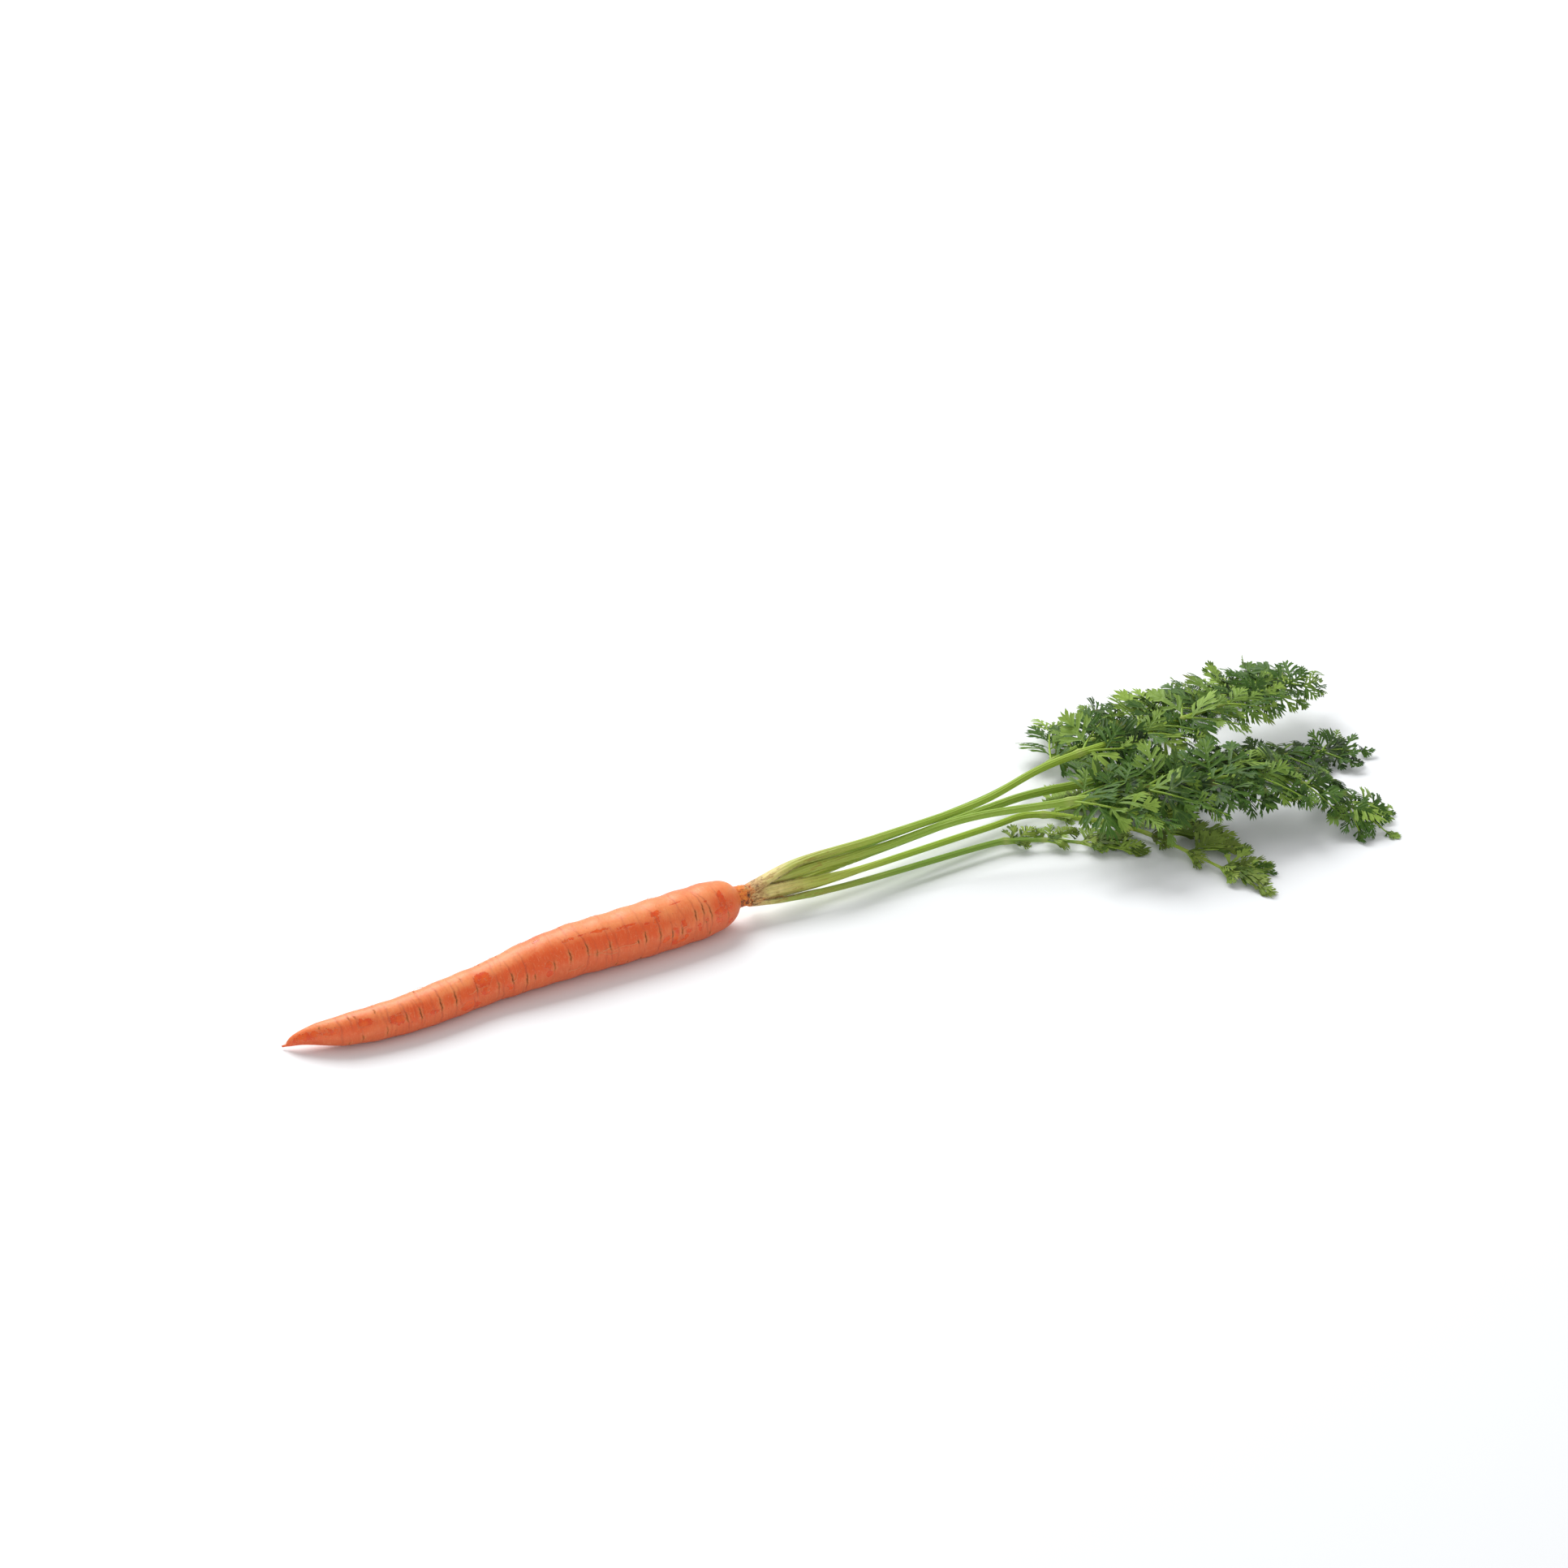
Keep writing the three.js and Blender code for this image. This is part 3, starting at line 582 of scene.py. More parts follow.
def root_skin_material():
    s = Shader("root_skin")

    # The pale film over the flesh is thicker in some places than in others.
    cloudy = s.minus(s.noise(13, 4, 0.6), s.attribute("thin"))
    # Painted light and shade by height round the root: paler on top, deeper orange round its middle
    # and darker towards the underside.
    upper = s.plus(s.attribute("upper"), s.times(s.noise(9, 3), 0.5))
    grain = s.noise(1, 3, 0.65, stretch=(1.5, 0.35, 0.35))
    film = s.layers(
        s.mix(s.ramp(cloudy, 0.12, 0.62), (230, 88, 18), (240, 138, 78)),
        (upper, 0.95, 1.25, 0.35, (238, 142, 72)),
        (upper, 1.08, 0.82, 0.4, (228, 86, 20)),
        (upper, 0.7, 0.0, 0.55, (204, 80, 38)),
        (grain, 0.5, 0.75, 0.3, (243, 164, 110)),
        (grain, 0.5, 0.25, 0.25, (204, 84, 32)),
        (s.noise(0.7, 3, 0.7), 0.6, 0.72, 0.4, (242, 174, 136)),
    )

    # Where it is worn through, the flesh shows glossy, in ragged islands with a pale brim.
    ragged = s.noise(1.9, 6, 0.68, stretch=(0.75, 1.0, 1.0))
    field = s.plus(s.attribute("worn"), s.times(ragged, 2.2))
    bare = s.ramp(field, 1.66, 1.71)
    film = s.layers(film, (field, 1.25, 1.66, 0.4, (228, 92, 26)))
    film = s.tint(film, s.minus(s.ramp(field, 1.56, 1.66), bare), 0.3, (240, 166, 124))
    flesh = s.mix(s.ramp(s.noise(3, 3), 0.35, 0.65), (222, 72, 4), (232, 92, 12))

    # Pale scuffs, specks of soil in patches, faint rings, and the brown cross marks.
    scuffs = s.noise(1, 4, 0.7, stretch=(0.5, 0.9, 0.9))
    colour = s.layers(s.mix(bare, film, flesh), (scuffs, 0.63, 0.74, 0.35, (240, 182, 142)))
    specks = s.ramp(s.cells(2.6), 0.10, 0.05)
    colour = s.tint(colour, specks, s.ramp(s.noise(9, 1), 0.5, 0.62), (150, 66, 30))
    # The rings are darker orange partly in their own colour and partly as painted shade in their
    # creases.
    colour = s.tint(colour, s.attribute("ring"), 0.85, (176, 70, 34))
    frayed = s.noise(0.55, 4, 0.7)
    brown = s.times(s.attribute("rim"), s.ramp(frayed, 0.42, 0.56))
    torn = s.plus(s.attribute("scar"), s.times(s.minus(frayed, 0.5), 0.55))
    colour = s.layers(
        s.tint(colour, brown, 0.5, (220, 156, 96)),
        (torn, 0.15, 0.45, 0.85, (184, 106, 52)),
        (torn, 0.45, 0.9, 0.9, (112, 56, 24)),
    )

    height = s.plus(s.times(s.noise(1.1, 4, 0.6), 0.6), s.times(grain, 0.6))
    height = s.minus(height, s.times(bare, 0.3))
    s.bump(s.minus(height, s.times(s.ramp(torn, 0.2, 0.7), 0.5)), 0.2)
    roughness = s.plus(s.ramp(bare, 0, 1, 0.5, 0.27), s.ramp(torn, 0.2, 0.5, 0, 0.45))
    s.set(Subsurface_Weight=0.12, Subsurface_Radius=(1.0, 0.35, 0.12), Subsurface_Scale=1.6 * MM)
    s.set(Specular_IOR_Level=0.5, Coat_Weight=0.08, Coat_Roughness=0.2)
    return s.finish(colour, roughness)


def cork_colours(s):
    """Orange cork that turns to tan husk: its two colours and the fibres they share."""
    fibres = s.noise(1, 5, 0.7, stretch=(0.5, 1.4, 1.4))
    fresh = s.mix(s.ramp(fibres, 0.35, 0.65), (206, 84, 12), (244, 146, 50))
    husk = s.mix(s.ramp(fibres, 0.3, 0.65), (150, 98, 44), (222, 186, 122))
    return fresh, husk, fibres


def crown_material():
    s = Shader("crown_cork")
    fresh, husk, fibres = cork_colours(s)
    blotches = s.noise(2.8, 4, 0.65)
    turned = s.plus(s.attribute("along"), s.times(blotches, 0.9))
    cracked = s.noise(1.5, 5, 0.75)
    hollow = s.times(s.attribute("pit"), s.ramp(cracked, 0.32, 0.56, 1.7, 0.4))
    colour = s.layers(
        s.mix(s.ramp(turned, 0.9, 1.2), fresh, husk),
        (cracked, 0.44, 0.34, 0.9, (112, 54, 20)),
        (hollow, 0.2, 0.5, 0.8, (110, 60, 28)),
        (hollow, 0.7, 1.3, 1, (64, 38, 20)),
    )
    s.bump(s.plus(fibres, blotches), 0.5)
    s.set(Subsurface_Weight=0.1, Subsurface_Scale=1.5 * MM)
    return s.finish(colour, 0.6)


def stalk_material():
    s = Shader("leaf_stalk")
    along, rib, tone = (s.attribute(name) for name in ("along", "rib", "tone"))
    green = s.mix(tone, (92, 132, 36), (166, 194, 52))
    olive = s.mix(tone, (130, 148, 50), (186, 194, 78))
    cream = s.mix(s.noise(2.5, 2), (202, 180, 98), (232, 216, 142))
    reach = s.plus(s.times(along, s.ramp(tone, 0, 1, 1.7, 0.9)), s.times(s.noise(6, 2), 14.0))
    fine = s.noise(1, 3, 0.6, stretch=(0.06, 1.3, 1.3))
    colour = s.layers(
        s.mix(s.ramp(reach, 18, 44), cream, s.mix(s.ramp(along, 30, 90), olive, green)),
        (fine, 0.52, 0.72, 0.3, (186, 198, 104)),
        (rib, 0.45, 0.0, 0.2, (84, 108, 32)),
    )
    colour = s.tint(colour, s.attribute("node"), 0.6, (172, 182, 100))

    # Brown streaks and dots, the sheath's stained edges, darkened further as painted shade in the
    # slits between sheaths, and its corky foot.
    streaks = s.noise(1, 5, 0.7, stretch=(0.11, 0.75, 0.75))
    stained = s.times(s.ramp(streaks, 0.54, 0.64), s.ramp(along, 75, 8))
    dots = s.noise(1, 3, 0.7, stretch=(0.7, 1.6, 1.6))
    colour = s.layers(
        s.tint(colour, stained, 0.8, (150, 102, 34)), (dots, 0.66, 0.74, 0.6, (112, 88, 36))
    )
    frayed = s.ramp(s.noise(1.6, 4, 0.7), 0.4, 0.6, 0.45, 1.0)
    # The edges' brown is partly their own stain and partly painted shade where the sheaths meet.
    edge_stain_and_shade = s.mix(s.ramp(along, 12, 40), (74, 50, 24), (112, 96, 40))
    fresh, husk, fibres = cork_colours(s)
    torn = s.noise(1.8, 4, 0.7)
    foot = s.plus(along, s.times(torn, 10.0))
    colour = s.layers(
        s.tint(colour, s.attribute("edge"), frayed, edge_stain_and_shade),
        (foot, 16.5, 10.5, 1, husk),
        (foot, 8.6, 6.2, 1, fresh),
    )
    rotten = s.times(s.ramp(torn, 0.45, 0.36), s.ramp(along, 13, 5))
    colour = s.tint(colour, rotten, 0.85, (86, 52, 26))
    rough = s.times(s.plus(fibres, torn), s.ramp(along, 14, 5))
    ribbed = s.plus(s.times(rib, 0.4), s.times(fine, 0.7))
    s.bump(s.plus(ribbed, s.times(rough, 2.0)), 0.2)
    s.set(Subsurface_Weight=0.12, Subsurface_Radius=(0.5, 1.0, 0.25), Subsurface_Scale=1 * MM)
    return s.finish(colour, 0.48)


def blade_material():
    s = Shader("leaf_blade")
    tone = s.attribute("tone")
    vein = s.ramp(s.attribute("across"), 0.25, 0.0)
    colour = s.layers(
        s.mix(s.ramp(tone, 0, 0.5), (15, 36, 14), (52, 89, 24)),
        (tone, 0.5, 1.0, 1, (148, 178, 76)),
        (s.noise(3.5, 3), 0.35, 0.7, 0.3, (94, 128, 34)),
    )
    colour = s.tint(colour, vein, 0.2, (150, 176, 84))
    colour = s.mix(s.attribute("dry"), colour, (128, 106, 48))
    s.bump(s.plus(s.times(vein, -1.0), s.noise(0.7, 2)), 0.12)
    s.set(Specular_IOR_Level=0.22)
    return s.finish(colour, 0.5)


def hair_material():
    s = Shader("root_hair")
    return s.finish(s.mix(s.noise(4), (232, 178, 128), (214, 146, 96)), 0.6)


def floor_material():
    s = Shader("floor")
    return s.finish(s.mix(s.noise(900), (239, 241, 243), (241, 243, 245)), 0.7)


# ---- The root ----


def root_surface(x, turn, swell=0.0):
    """Points of the root's surface at X and at an angle round it, from +Y towards +Z."""
    radius = table_at(ROOT_PROFILE, x)[..., 0]
    bend, lift = np.moveaxis(table_at(ROOT_AXIS, x), -1, 0)
    waisted = smooth_step(x, *WAISTS_FROM) * (1 - smooth_step(x, *WAISTS_TO))
    phase = 2 * math.pi * x / WAIST_PITCH + WAIST_TWIST * turn
    reach = radius * (1 + WAIST_DEPTH * waisted * np.sin(phase)) + swell
    pressed = FLAT_SPOT_PRESS * (1 - smooth_step(np.abs(x), *FLAT_SPOT))
    y = bend + reach * np.cos(turn)
    z = radius + lift - pressed + reach * np.sin(turn)
    return np.stack([x, y, soft_max(z, ROOT_LEAST_Z, ROOT_SOFTNESS)], axis=-1)


def root_grid(rows, columns, x_from, x_to):
    return np.meshgrid(np.linspace(x_from, x_to, rows), turns(columns), indexing="ij")


def seen_on_root(pixels):
    """Where camera rays through pixels meet the root, as X and the angle round it."""
    grid = root_grid(SIGHT_ROWS, SIGHT_COLUMNS, ROOT_PROFILE[0][0], ROOT_PROFILE[-1][0])
    points = [Vector(p) for p in root_surface(*grid).reshape(-1, 3)]
    tree = BVHTree.FromPolygons(points, grid_faces(SIGHT_ROWS, SIGHT_COLUMNS).tolist())
    found = []
    for pixel in pixels:
        place, direction = pixel_ray(pixel)
        hit = tree.ray_cast(Vector(place), Vector(direction))[0]
        if hit is None:
            hit = tree.find_nearest(Vector(place + direction * VIEW_DISTANCE))[0]
        radius = table_at(ROOT_PROFILE, hit.x)[0]
        bend, lift = table_at(ROOT_AXIS, hit.x)
        found.append((hit.x, math.atan2(hit.z - radius - lift, hit.y - bend)))
    return found


def hidden_places(count, seed):
    """Random places on the side of the root that faces away from the camera."""
    places = []
    for i in range(count):
        x = lerp(*HIDDEN_SPAN, 0.5 + 0.5 * vary(seed + 3 * i))
        places.append((x, math.radians(drawn(*HIDDEN_TURN, seed + 3 * i + 1))))
    return places


def marks_on_root(rows, count=0, seed=0, *draws):
    """The places of marks on the root, each with its sizes: those of rows, then hidden ones."""
    seen = zip(seen_on_root([row[:2] for row in rows]), rows)
    marks = [(place, *row[2:]) for place, row in seen]
    for i, place in enumerate(hidden_places(count, seed)):
        marks.append((place, *(drawn(*sizes, i + draw) for *sizes, draw in draws)))
    return marks


def root_distances(x, turn, place):
    """How far each grid point is from a place on the root: along it, and round it, in mm."""
    apart = (turn - place[1] + math.pi) % (2 * math.pi) - math.pi
    return x - place[0], apart * table_at(ROOT_PROFILE, x)[..., 0]


def root_spot(x, turn, place, half_length, half_width, sharpness=1):
    """A soft spot on the root's grid, 1 in its middle."""
    along, round_it = root_distances(x, turn, place)
    return np.exp(-((along / half_length) ** 2 + (round_it / half_width) ** 2) * sharpness)


def cross_marks(x, turn):
    """How scarred, rimmed and ringed the root is at each grid point."""
    scar, rim, ring = (np.zeros_like(x) for _ in range(3))
    for i, mark in enumerate(marks_on_root(SEEN_SCARS, *HIDDEN_SCARS)):
        place, length, dark = mark
        along, round_it = root_distances(x, turn, place)
        bow = 0.012 * round_it**2 * (1 + vary(i)) + 0.08 * round_it * vary(i + 60)
        wander = 0.12 * np.sin(1.6 * round_it + i) + 0.05 * np.sin(4.1 * round_it + 2 * i)
        along = along + bow + wander
        within = bell(round_it, 0.4 * length, 4)
        narrow = SCAR_HALF_WIDTH * (0.3 + 0.7 * within * (0.8 + 0.3 * np.sin(3 * round_it + i)))
        scar = np.maximum(scar, dark * within * bell(along, narrow))
        rim = np.maximum(rim, dark * within * bell(np.abs(along) - RIM_OFFSET, RIM_HALF_WIDTH))
        arc = bell(along, RING_HALF_WIDTH) * bell(round_it, 1.5 * length)
        ring = np.maximum(ring, arc * (0.6 + 0.4 * vary(i + 30)))
    return scar, rim, ring


def wrinkles(x, turn):
    """How deep in a faint ring of its own each grid point is."""
    ring = np.zeros_like(x)
    for i in range(WRINKLES):
        place = (lerp(*WRINKLE_SPAN, 0.5 + 0.5 * vary(i + 4100)), math.pi * vary(i + 4200))
        along, round_it = root_distances(x, turn, place)
        along = along + 0.012 * round_it**2 * vary(i + 4300) + 0.25 * np.sin(0.8 * round_it + i)
        arc = bell(along, WRINKLE_HALF_WIDTH) * bell(round_it, 9 + 4 * vary(i + 4400), 4)
        ring = np.maximum(ring, arc * (0.4 + 0.25 * vary(i + 4500)))
    return ring


def worn_and_thin(x, turn):
    """How worn through and how thin the film is at each grid point."""
    worn, thin = np.zeros_like(x), np.zeros_like(x)
    for mark in marks_on_root(SEEN_WORN, *HIDDEN_WORN):
        worn += root_spot(x, turn, *mark, WORN_SHARPNESS)
    for mark in marks_on_root(SEEN_THIN, *HIDDEN_THIN):
        thin += THIN_STEP * root_spot(x, turn, *mark)
    return np.minimum(worn, WORN_MOST), np.minimum(thin, THIN_MOST)


def make_root():
    x, turn = root_grid(ROOT_ROWS, ROOT_COLUMNS, ROOT_PROFILE[0][0], SKIN_TO)
    plain = root_surface(x, turn)
    scar, rim, ring = cross_marks(x, turn)
    ring = np.maximum(ring, wrinkles(x, turn))
    worn, thin = worn_and_thin(x, turn)
    lumps = noise_at(plain * (1, 1.6, 1.6), 14, 1) + 0.35 * noise_at(plain * (1.8, 1, 1), 4.5, 2)
    relief = LUMP_DEPTH * lumps - SCAR_DEPTH * scar + RIM_HEIGHT * rim - RING_DEPTH * ring
    body = smooth_step(x, *RELIEF_FROM) * (1 - smooth_step(x, *RELIEF_TO))
    # upper, the height round the root, carries the skin's painted light and shade.
    marks = dict(scar=scar, rim=rim, ring=ring, worn=worn, thin=thin, upper=np.sin(turn))
    skin = Pieces("carrot_skin", *marks)
    skin.add_rings(root_surface(x, turn, body * relief), **marks)
    thing = skin.make(root_skin_material())
    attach(thing, "root")
    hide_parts("carrot_root")


def make_crown():
    last = ROOT_PROFILE[-1][0]
    x, turn = root_grid(CROWN_ROWS, CROWN_COLUMNS, CROWN_FROM, last)
    share = (x - CROWN_FROM) / (last - CROWN_FROM)
    plain = root_surface(x, turn)
    rough = noise_at(plain * (0.6, 1.2, 1.2), 2.6, 11) + 0.5 * noise_at(plain, 1.1, 12)
    pit = np.zeros_like(x)
    for place, size in marks_on_root(CROWN_PITS):
        pit = np.maximum(pit, root_spot(x, turn, place, size, size))
    step = CROWN_STEP * (smooth_step(x, *CROWN_STEP_AT) - 0.5)
    swell = CORK_DEPTH * rough * smooth_step(share, *CORK_FROM) - PIT_DEPTH * pit + step
    points = root_surface(x, turn, swell)
    middle = points.mean(axis=1, keepdims=True)
    narrowed = 1 - CROWN_NARROWING * smooth_step(share, *CROWN_NARROWS_AT)
    drawn_in = narrowed * np.sqrt(1 - 0.999 * share**14)
    cork = Pieces("carrot_crown", "along", "pit")
    cork.add_rings(middle + (points - middle) * drawn_in[..., None], along=share, pit=pit)
    thing = cork.make(crown_material())
    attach(thing, "root")
    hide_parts("carrot_root")


# ---- Tubes ----


def tube(points, normals, radii, sides, flatness=1.0):
    """Rings of points round a line of points, thinner along the normals where flat."""
    tangents = unit(np.gradient(points, axis=0))
    normals = square_to(tangents, normals)
    left = np.cross(normals, tangents)
    upright = flatness * np.sin(turns(sides))[:, None] * normals[:, None]
    ring = np.cos(turns(sides))[:, None] * left[:, None] + upright
    return points[:, None] + ring * np.asarray(radii, float)[:, None, None]


def make_bracts():
    """Dry husks of old leaves, which lie over the crown's end and the feet of the sheaths."""
    husks = Pieces("crown_husks", "along", "pit")
    share = np.linspace(0, 1, BRACT_ROWS)
    for i, (degrees, start, length, half_width) in enumerate(BRACTS):
        turn = math.radians(degrees) + 0.12 * np.sin(3 * share + i) * share
        reach = lerp(*BRACT_REACH, share) + 0.02 * length * share**2.5
        outward = np.stack([0 * share, np.cos(turn), np.sin(turn)], axis=1)
        points = np.array([0, *CROWN_MIDDLE]) + outward * reach[:, None]
        points[:, 0] = start + length * share
        width = half_width * np.sqrt(np.maximum(1e-6, 1 - np.abs(2 * share**0.7 - 1) ** 2.4))
        rings = tube(points, outward, width, BRACT_SIDES, BRACT_FLATNESS)
        hollow = 0.5 * width[:, None] * np.cos(turns(BRACT_SIDES)) ** 2
        rings = rings - hollow[..., None] * outward[:, None]
        ragged = BRACT_ROUGHNESS * noise_at(rings * (0.5, 1, 1), 1.1, 31)
        husks.add_rings(rings + ragged[..., None] * (0.3, 1, 1), along=0.75)
    thing = husks.make(crown_material())
    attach(thing, "root")


def make_hairs():
    """Fine root hairs that lie along the skin, arched between two places on it."""
    starts, ends = (seen_on_root([hair[k : k + 2] for hair in SEEN_HAIRS]) for k in (0, 2))
    hairs = [(*pair, hair[4]) for *pair, hair in zip(starts, ends, SEEN_HAIRS)]
    for i, place in enumerate(hidden_places(*HIDDEN_HAIRS)):
        far = (place[0] + 5 * vary(i + 2700), place[1] + 0.35 * vary(i + 2800))
        hairs.append((place, far, 0.4 + 0.3 * vary(i + 2900)))
    out = Pieces("root_hairs")
    share = np.linspace(0, 1, HAIR_ROWS)
    for i, (start, end, arch) in enumerate(hairs):
        x = lerp(start[0], end[0], share) + 0.25 * np.sin(share * 7 + i)
        turn = lerp(start[1], end[1], share) + 0.02 * np.sin(share * 9 + 2 * i)
        points = root_surface(x, turn, arch * np.sin(math.pi * share**0.8) + HAIR_CLEARANCE)
        out.add_rings(tube(points, HAIR_UP, np.linspace(*HAIR_RADII, HAIR_ROWS), HAIR_SIDES))
    thing = out.make(hair_material())
    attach(thing, "root")


# ---- A leaf ----


class Spine:
    """A leaf's stalk and midrib as one curve, asked at shares of its length."""

    def __init__(self, leaf):
        path = np.array(leaf["path"], float)
        p = np.concatenate(([2 * path[0] - path[1]], path, [2 * path[-1] - path[-2]]))
        t = np.linspace(0, 1, SPINE_STEPS, endpoint=False)[:, None]
        pieces = []
        for i in range(1, len(p) - 2):
            slopes = (p[i + 1] - p[i - 1]) / 2, (p[i + 2] - p[i]) / 2
            pieces.append(hermite(p[i], p[i + 1], *slopes, t))
        self.points = np.concatenate(pieces + [p[-2:-1]])
        steps = np.linalg.norm(np.diff(self.points, axis=0), axis=1)
        self.run = np.concatenate([[0], np.cumsum(steps)])
        self.length = self.run[-1]
        faces = math.radians(leaf["out"])
        self.outward = np.array([0, math.cos(faces), math.sin(faces)])

    def at(self, share):
        """Point, tangent, upper side and left-hand side at each share of the length."""
        here, before, after = (
            np.stack([np.interp(run, self.run, self.points[:, k]) for k in range(3)], axis=-1)
            for run in (np.clip(share + d, 0, 1) * self.length for d in (0, -0.002, 0.002))
        )
        tangent = unit(after - before)
        turned = np.expand_dims(smooth_step(share, 0, STALK_TURN_SHARE), -1)
        normal = square_to(tangent, lerp(self.outward, UP, turned))
        return here, tangent, normal, np.cross(normal, tangent)


def add_stalk(out, leaf, spine, number):
    """The ribbed stalk and midrib, widening into a flat sheath that clasps the crown."""
    wide, thick, round_radius = leaf["section"]
    share = np.linspace(0, 1, STALK_ROWS) ** 1.2
    point, _, normal, left = spine.at(share)

    # Rows of the sheath come first, from its foot on the crown to the start of the path.
    start = point[0]
    foot = start.copy()
    foot[0] = SHEATH_FROM + 1.2 * vary(number + 5)
    foot[1:] = np.array(CROWN_MIDDLE) + SHEATH_HUG * (start[1:] - np.array(SHEATH_MIDDLE))
    rows = np.linspace(0, 1, SHEATH_ROWS, endpoint=False)
    point = np.concatenate([lerp(foot, start, rows[:, None]), point])
    reach = np.linalg.norm(start - foot)
    normal, left = (np.pad(v, ((SHEATH_ROWS, 0), (0, 0)), "edge") for v in (normal, left))
    along = np.concatenate([rows * reach, share * spine.length + reach])
    share = np.pad(share, (SHEATH_ROWS, 0))

    widening, widened_to = leaf["sheath"]
    settled = smooth_step(along, SHEATH_KEPT, widened_to)
    taper = np.clip((share - leaf["blade_from"]) / (1 - leaf["blade_from"]), 0, 1)
    radius = lerp(round_radius, STALK_TIP_RADIUS, taper**0.8)
    node = np.zeros_like(along)
    for i in range(leaf["pairs"]):
        spot = reach + spine.length * lerp(leaf["blade_from"], 1, pair_place(leaf, i))
        node = np.maximum(node, bell(along - spot, NODE_HALF_LENGTH))
    size = np.sqrt(smooth_step(along, *SHEATH_OPENING)) * (1 + NODE_SWELLING * node)
    across = (lerp(wide * widening, radius, settled) * size)[:, None]
    upright = (lerp(thick, radius, settled) * size)[:, None]
    turn = turns(STALK_SIDES)[None]
    ribs = np.cos(STALK_RIBS * turn)
    flat = (1 - settled)[:, None]
    ribbed = 1 + RIB_DEPTH * (1 - 0.8 * flat) * ribs
    inner = np.clip(-np.sin(turn), 0, 1) * flat
    u = np.cos(turn) * ribbed * across
    v = np.sin(turn) * ribbed * upright * (1 - 0.75 * inner)
    v = v - (np.cos(turn) ** 2) * across * SHEATH_WRAP * flat
    points = point[:, None] + u[..., None] * left[:, None] + v[..., None] * normal[:, None]
    points[..., 2] = soft_max(points[..., 2], STALK_LEAST_Z, STALK_SOFTNESS)
    edge = np.abs(np.cos(turn)) ** 16 * (1 - smooth_step(along, *EDGE_FADE))[:, None]
    colours = dict(rib=0.5 + 0.5 * ribs, tone=leaf["stalk_tone"], edge=edge)
    out.add_rings(points, STALK, along=along[:, None], node=node[:, None], **colours)


def lobe_outline(start, angle, length, half_width, rows):
    """A pointed lobe in its own plane: its outline, and the points and bends of its middle."""
    run = np.linspace(0, 1, rows)
    bend = angle * (1 - 0.35 * run)
    step = length / (rows - 1)
    s = start[0] + np.concatenate([[0], np.cumsum(np.cos(bend[:-1]) * step)])
    t = start[1] + np.concatenate([[0], np.cumsum(np.sin(bend[:-1]) * step)])
    widened = 0.5 + 0.5 * np.sin(np.minimum(run / LOBE_WIDEST, 1) * math.pi / 2)
    pointed = 1 - np.clip((run - LOBE_WIDEST) / (1 - LOBE_WIDEST), 0, 1) ** 2
    middle = np.stack([s, t], axis=1)
    aside = np.stack([-np.sin(bend), np.cos(bend)], axis=1)
    aside = aside * (half_width * widened * pointed)[:, None]
    outline = np.concatenate([middle - aside, (middle + aside)[-2::-1]])
    return outline, middle, bend


def leaflet_template(seed):
    """A leaflet of length 1, cut into toothed lobes and joined into one blade.

    Gives vertices of along, off its rib, height and the share across a lobe, and triangles.
    """
    pairs = 3 if vary(seed) > 0 else 2
    width = (0.047 if pairs == 3 else 0.06) * (1 + 0.12 * vary(seed + 9))
    points, edges, outlines, middles = [], [], [], []

    def add(start, angle, length, half_width, rows):
        outline, middle, bend = lobe_outline(start, angle, length, half_width, rows)
        outlines.append(list(range(len(points), len(points) + len(outline))))
        points.extend(outline.tolist())
        first = len(points)
        points.extend(middle.tolist())
        edges.extend((first + i, first + i + 1) for i in range(len(middle) - 1))
        middles.append((middle, half_width, rows > 4))
        return middle, bend

    main, _ = add((0.0, 0.0), 0.0, 1.0, width, 7)
    for side in (1, -1):
        add(tuple(main[4]), side * 0.45, 0.31 + 0.06 * vary(seed + side), 0.85 * width, 4)
    for k in range(pairs):
        share = k / (pairs - 1)
        for side in (1, -1):
            draw = seed + 10 * k + side
            start = (lerp(0.14, 0.5, share) + 0.04 * vary(draw), 0.0)
            length = lerp(0.6, 0.4, share) * (1 + 0.16 * vary(draw + 1))
            angle = math.radians(lerp(50, 36, share) + 6 * vary(draw + 2))
            middle, bend = add(start, side * angle, length, width, 5)
            for j, hand in enumerate((1, -1) if pairs == 2 and k == 0 else (1,)):
                tooth = 0.46 * length * (1 + 0.2 * vary(draw + 5 + j))
                turned = bend[2] + side * hand * (0.42 + 0.1 * vary(draw + 7 + j))
                add(tuple(middle[2]), turned, tooth, 0.78 * width, 4)
    flat, _, faces, *_ = delaunay_2d_cdt([Vector(p) for p in points], edges, outlines, 1, 1e-5)
    flat = np.array([tuple(v) for v in flat])
    nearest = np.full(len(flat), 9.0)
    across = np.ones(len(flat))
    for middle, half_width, has_vein in middles:
        a, b = middle[:-1, None], middle[1:, None]
        along = ((flat - a) * (b - a)).sum(-1) / ((b - a) ** 2).sum(-1)
        closest = a + (b - a) * np.clip(along, 0, 1)[..., None]
        apart = np.linalg.norm(flat - closest, axis=-1).min(axis=0)
        nearest = np.minimum(nearest, apart)
        if has_vein:
            across = np.minimum(across, apart / half_width)
    return np.column_stack([flat, LOBE_FOLD * nearest, across]), np.array([list(f) for f in faces])


TEMPLATES = [leaflet_template(100 * k) for k in range(TEMPLATE_COUNT)]


def limited(leaf, points):
    """Points levelled out between what is under and over their leaf."""
    fallen = smooth_step(points[..., 0], *leaf["floor_end"]) if "floor_end" in leaf else 0
    points = points.copy()
    points[..., 2] = soft_max(points[..., 2], lerp(leaf["floor"], GROUND, fallen))
    points[..., 2] = leaf["ceiling"] - soft_max(leaf["ceiling"] - points[..., 2], 0)
    return points


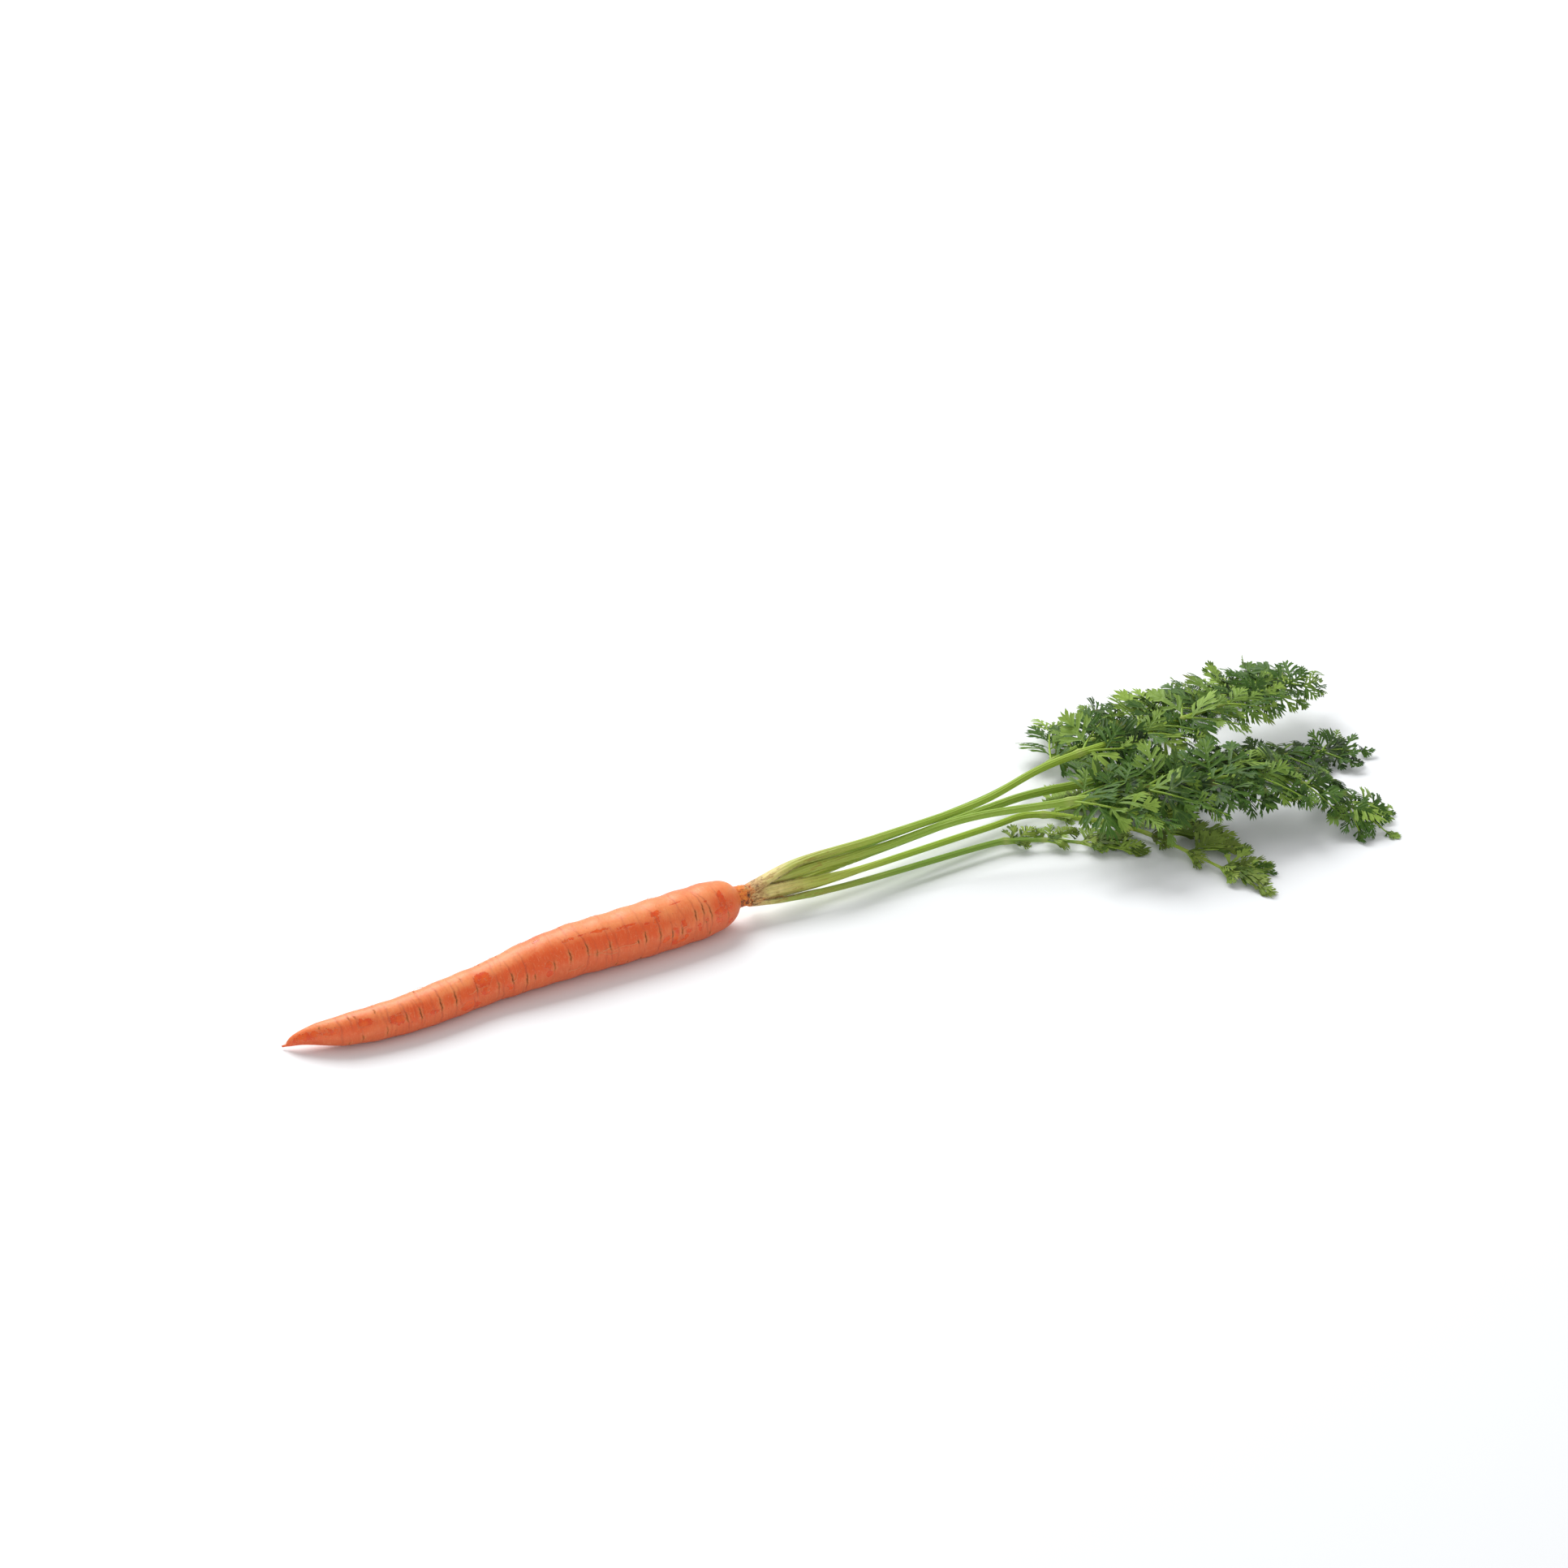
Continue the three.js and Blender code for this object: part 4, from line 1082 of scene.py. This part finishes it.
def add_leaflet(out, leaf, base, direction, normal, length, seed, tone):
    """One toothed blade, tilted, lifted, curled and twisted by chance."""
    template, faces = TEMPLATES[int((1 + 0.9975 * vary(seed)) * TEMPLATE_COUNT / 2)]
    tilt = math.radians(LEAFLET_TILT * vary(seed + 1))
    lifted = math.radians(drawn(*LEAFLET_LIFT, seed + 2))
    up = unit(normal * math.cos(tilt) + np.cross(normal, direction) * math.sin(tilt))
    ahead = unit(direction * math.cos(lifted) + up * math.sin(lifted))
    up = square_to(ahead, up)
    s, t, lift, across = template.T
    curl = drawn(*LEAFLET_CURL, seed + 3)
    twist = LEAFLET_TWIST * vary(seed + 6)
    height = lift - curl * s * s - LEAFLET_DROOP * t * t + twist * s * t
    shape = np.stack([s, t, height], axis=-1) * length
    points = base + shape @ np.stack([ahead, np.cross(up, ahead), up])
    dried = vary(seed + 4) > DRY_TIP_ABOVE
    dry = DRY_TIP * smooth_step(s, *DRY_TIP_FROM) if dried else 0 * s
    if "folded" in leaf:
        dry = np.maximum(dry, 0.12 + 0.12 * vary(seed + 9))
        tone += FOLDED_PALER
    tone = np.clip(tone + LEAFLET_TONE_SPREAD * vary(seed + 5) + 0.2 * (s - 0.5), 0, 1)
    out.add(limited(leaf, points), faces, BLADE, across=across, tone=tone, dry=dry)


def add_pinna(out, leaf, at, side, length, sweep, seed, tone):
    """One side branch: its thin rib and the leaflets on both sides of it."""
    point, tangent, _, left = at
    rise = (PINNA_RISE + 0.08 * vary(seed + 5)) * UP
    outward = tangent * math.cos(sweep) + left * side * math.sin(sweep) + rise
    share = np.linspace(0, 1, PINNA_ROWS)
    u = length * share
    line = (
        point
        + outward * (u * (1 - PINNA_SHORTENING * share))[:, None]
        + tangent * (FORWARD_BEND * u * share)[:, None]
        - leaf["sag"] * UP * (u * share)[:, None]
    )
    line = limited(leaf, line)
    line[0] = point
    rings = tube(line, UP, lerp(*PINNA_RADII, share), PINNA_SIDES)
    out.add_rings(rings, STALK, along=PINNA_ALONG, rib=0.5, tone=max(0.1, tone) * 0.8)

    ahead = unit(np.gradient(line, axis=0))
    folded = "folded" in leaf
    fold = FOLDED if folded else OPEN
    roll = math.radians(fold["roll"] + 8 * vary(seed + 3))
    least, growth, most = LEAFLET_LENGTH
    longest = min(most, least + growth * length, 3 + 0.6 * length) * fold["length"]
    start, end = (v * length for v in LEAFLET_SPAN)
    count = max(3, round((end - start) / (LEAFLET_PITCH * fold["pitch"])) + 1)
    for j in range(count + 1):
        place = min(j / (count - 1), 1.05)
        spot = lerp(start, end, place) / length * (PINNA_ROWS - 1)
        low = min(int(spot), PINNA_ROWS - 2)
        base = lerp(line[low], line[low + 1], spot - low)
        forward = unit(lerp(ahead[low], ahead[low + 1], spot - low))
        upright = square_to(forward, UP)
        upright = upright * math.cos(roll) - np.cross(upright, forward) * math.sin(roll)
        across = np.cross(upright, forward)
        angle = math.radians(lerp(*LEAFLET_ANGLE, min(place, 1)) * fold["angle"])
        # One leaflet ends the pinna; before it they stand in pairs.
        for hand in (0,) if j == count else (1, -1):
            size = longest * (1 - LEAFLET_TAPER * place)
            size *= 1 + 0.25 * vary(seed + 7 * j + 20 - 20 * hand) * abs(hand)
            turned = (angle + math.radians(8 * vary(seed + 11 * j + hand))) * abs(hand)
            aside = across * (abs(hand) if folded else hand)
            direction = unit(forward * math.cos(turned) + aside * math.sin(turned))
            add_leaflet(out, leaf, base, direction, upright, size, seed * 3 + 17 * j + hand, tone)


def pair_place(leaf, i):
    """Where a leaf's pair number i stands, from 0 at its first pair to 1 at the tip."""
    return 1 - (1 - i / leaf["pairs"]) ** PAIR_SPACING_POWER


def make_leaf(leaf, number, materials):
    spine = Spine(leaf)
    out = Pieces(leaf["name"] + "_green", *LEAF_KEYS)
    tone = 0.5 + 0.2 * vary(number + 70)
    add_stalk(out, leaf, spine, number)

    # Odd steps are the small branches between two pairs, which the folded fronds don't have.
    for step in range(0, 2 * leaf["pairs"] - 1, 2 if "folded" in leaf else 1):
        between = step % 2
        along = pair_place(leaf, step / 2)
        for side in (1, -1):
            basal, room_from, room_to = leaf["left"] if side > 0 else leaf["right"]
            seed = 100 * number + 5 * step + side
            tip = min(PINNA_LEAST, basal)
            length = tip + (basal - tip) * (1 - along) ** PINNA_TAPER_POWER
            length *= (1 + 0.1 * vary(seed)) * (BETWEEN_LENGTH if between else 1)
            room = lerp(room_from, room_to, along)
            least, most = (math.radians(v) for v in SWEEP_LIMITS)
            sweep = min(max(math.asin(min(1, room / length)), least), most)
            at = spine.at(lerp(leaf["blade_from"], 1, along + 0.012 * vary(seed + 2)))
            # The small branches between pairs are painted darker, as shade among the longer pairs; the
            # rest of the spread is chance.
            tone_and_painted_shade = tone + 0.16 * vary(seed + 8) - BETWEEN_PAINTED_SHADE * between
            add_pinna(out, leaf, at, side, length, sweep, seed, tone_and_painted_shade)
    at = spine.at(END_LEAFLETS_AT)
    add_pinna(out, leaf, at, 1, END_LEAFLETS_LENGTH, 0, 100 * number + 99, tone)
    thing = out.make(*materials)
    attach(thing, "root")
    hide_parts(leaf["name"])


# ---- Floor and light ----


def make_floor():
    corners = np.array([(-1, -1, 0), (1, -1, 0), (1, 1, 0), (-1, 1, 0)]) * FLOOR_HALF_WIDTH
    plane = Pieces("floor")
    plane.add(corners, np.array([[0, 1, 2, 3]]))
    plane.make(floor_material())


def add_area_light(name, place, size, power):
    """A square area light at a place in metres, aimed at the carrot."""
    data = bpy.data.lights.new(name, "AREA")
    data.size = size
    data.energy = power
    light = new_object(name, data)
    light.location = place
    aim = Vector(LIT_POINT) - Vector(place)
    light.rotation_euler = aim.to_track_quat("-Z", "Y").to_euler()


def make_light():
    world = bpy.data.worlds.new("studio")
    world.use_nodes = True
    background = world.node_tree.nodes["Background"]
    background.inputs["Color"].default_value = (1.0, 1.0, 1.0, 1)
    background.inputs["Strength"].default_value = SKY_STRENGTH
    bpy.context.scene.world = world
    for name, light in LIGHTS.items():
        add_area_light(name, *light)
    bpy.context.scene.view_settings.view_transform = "Standard"


# ---- The scene ----

make_camera()
make_root()
make_crown()
make_bracts()
make_hairs()
leaf_materials = [stalk_material(), blade_material()]
for number, leaf in enumerate(LEAVES):
    make_leaf(leaf, number + 1, leaf_materials)
make_floor()
make_light()
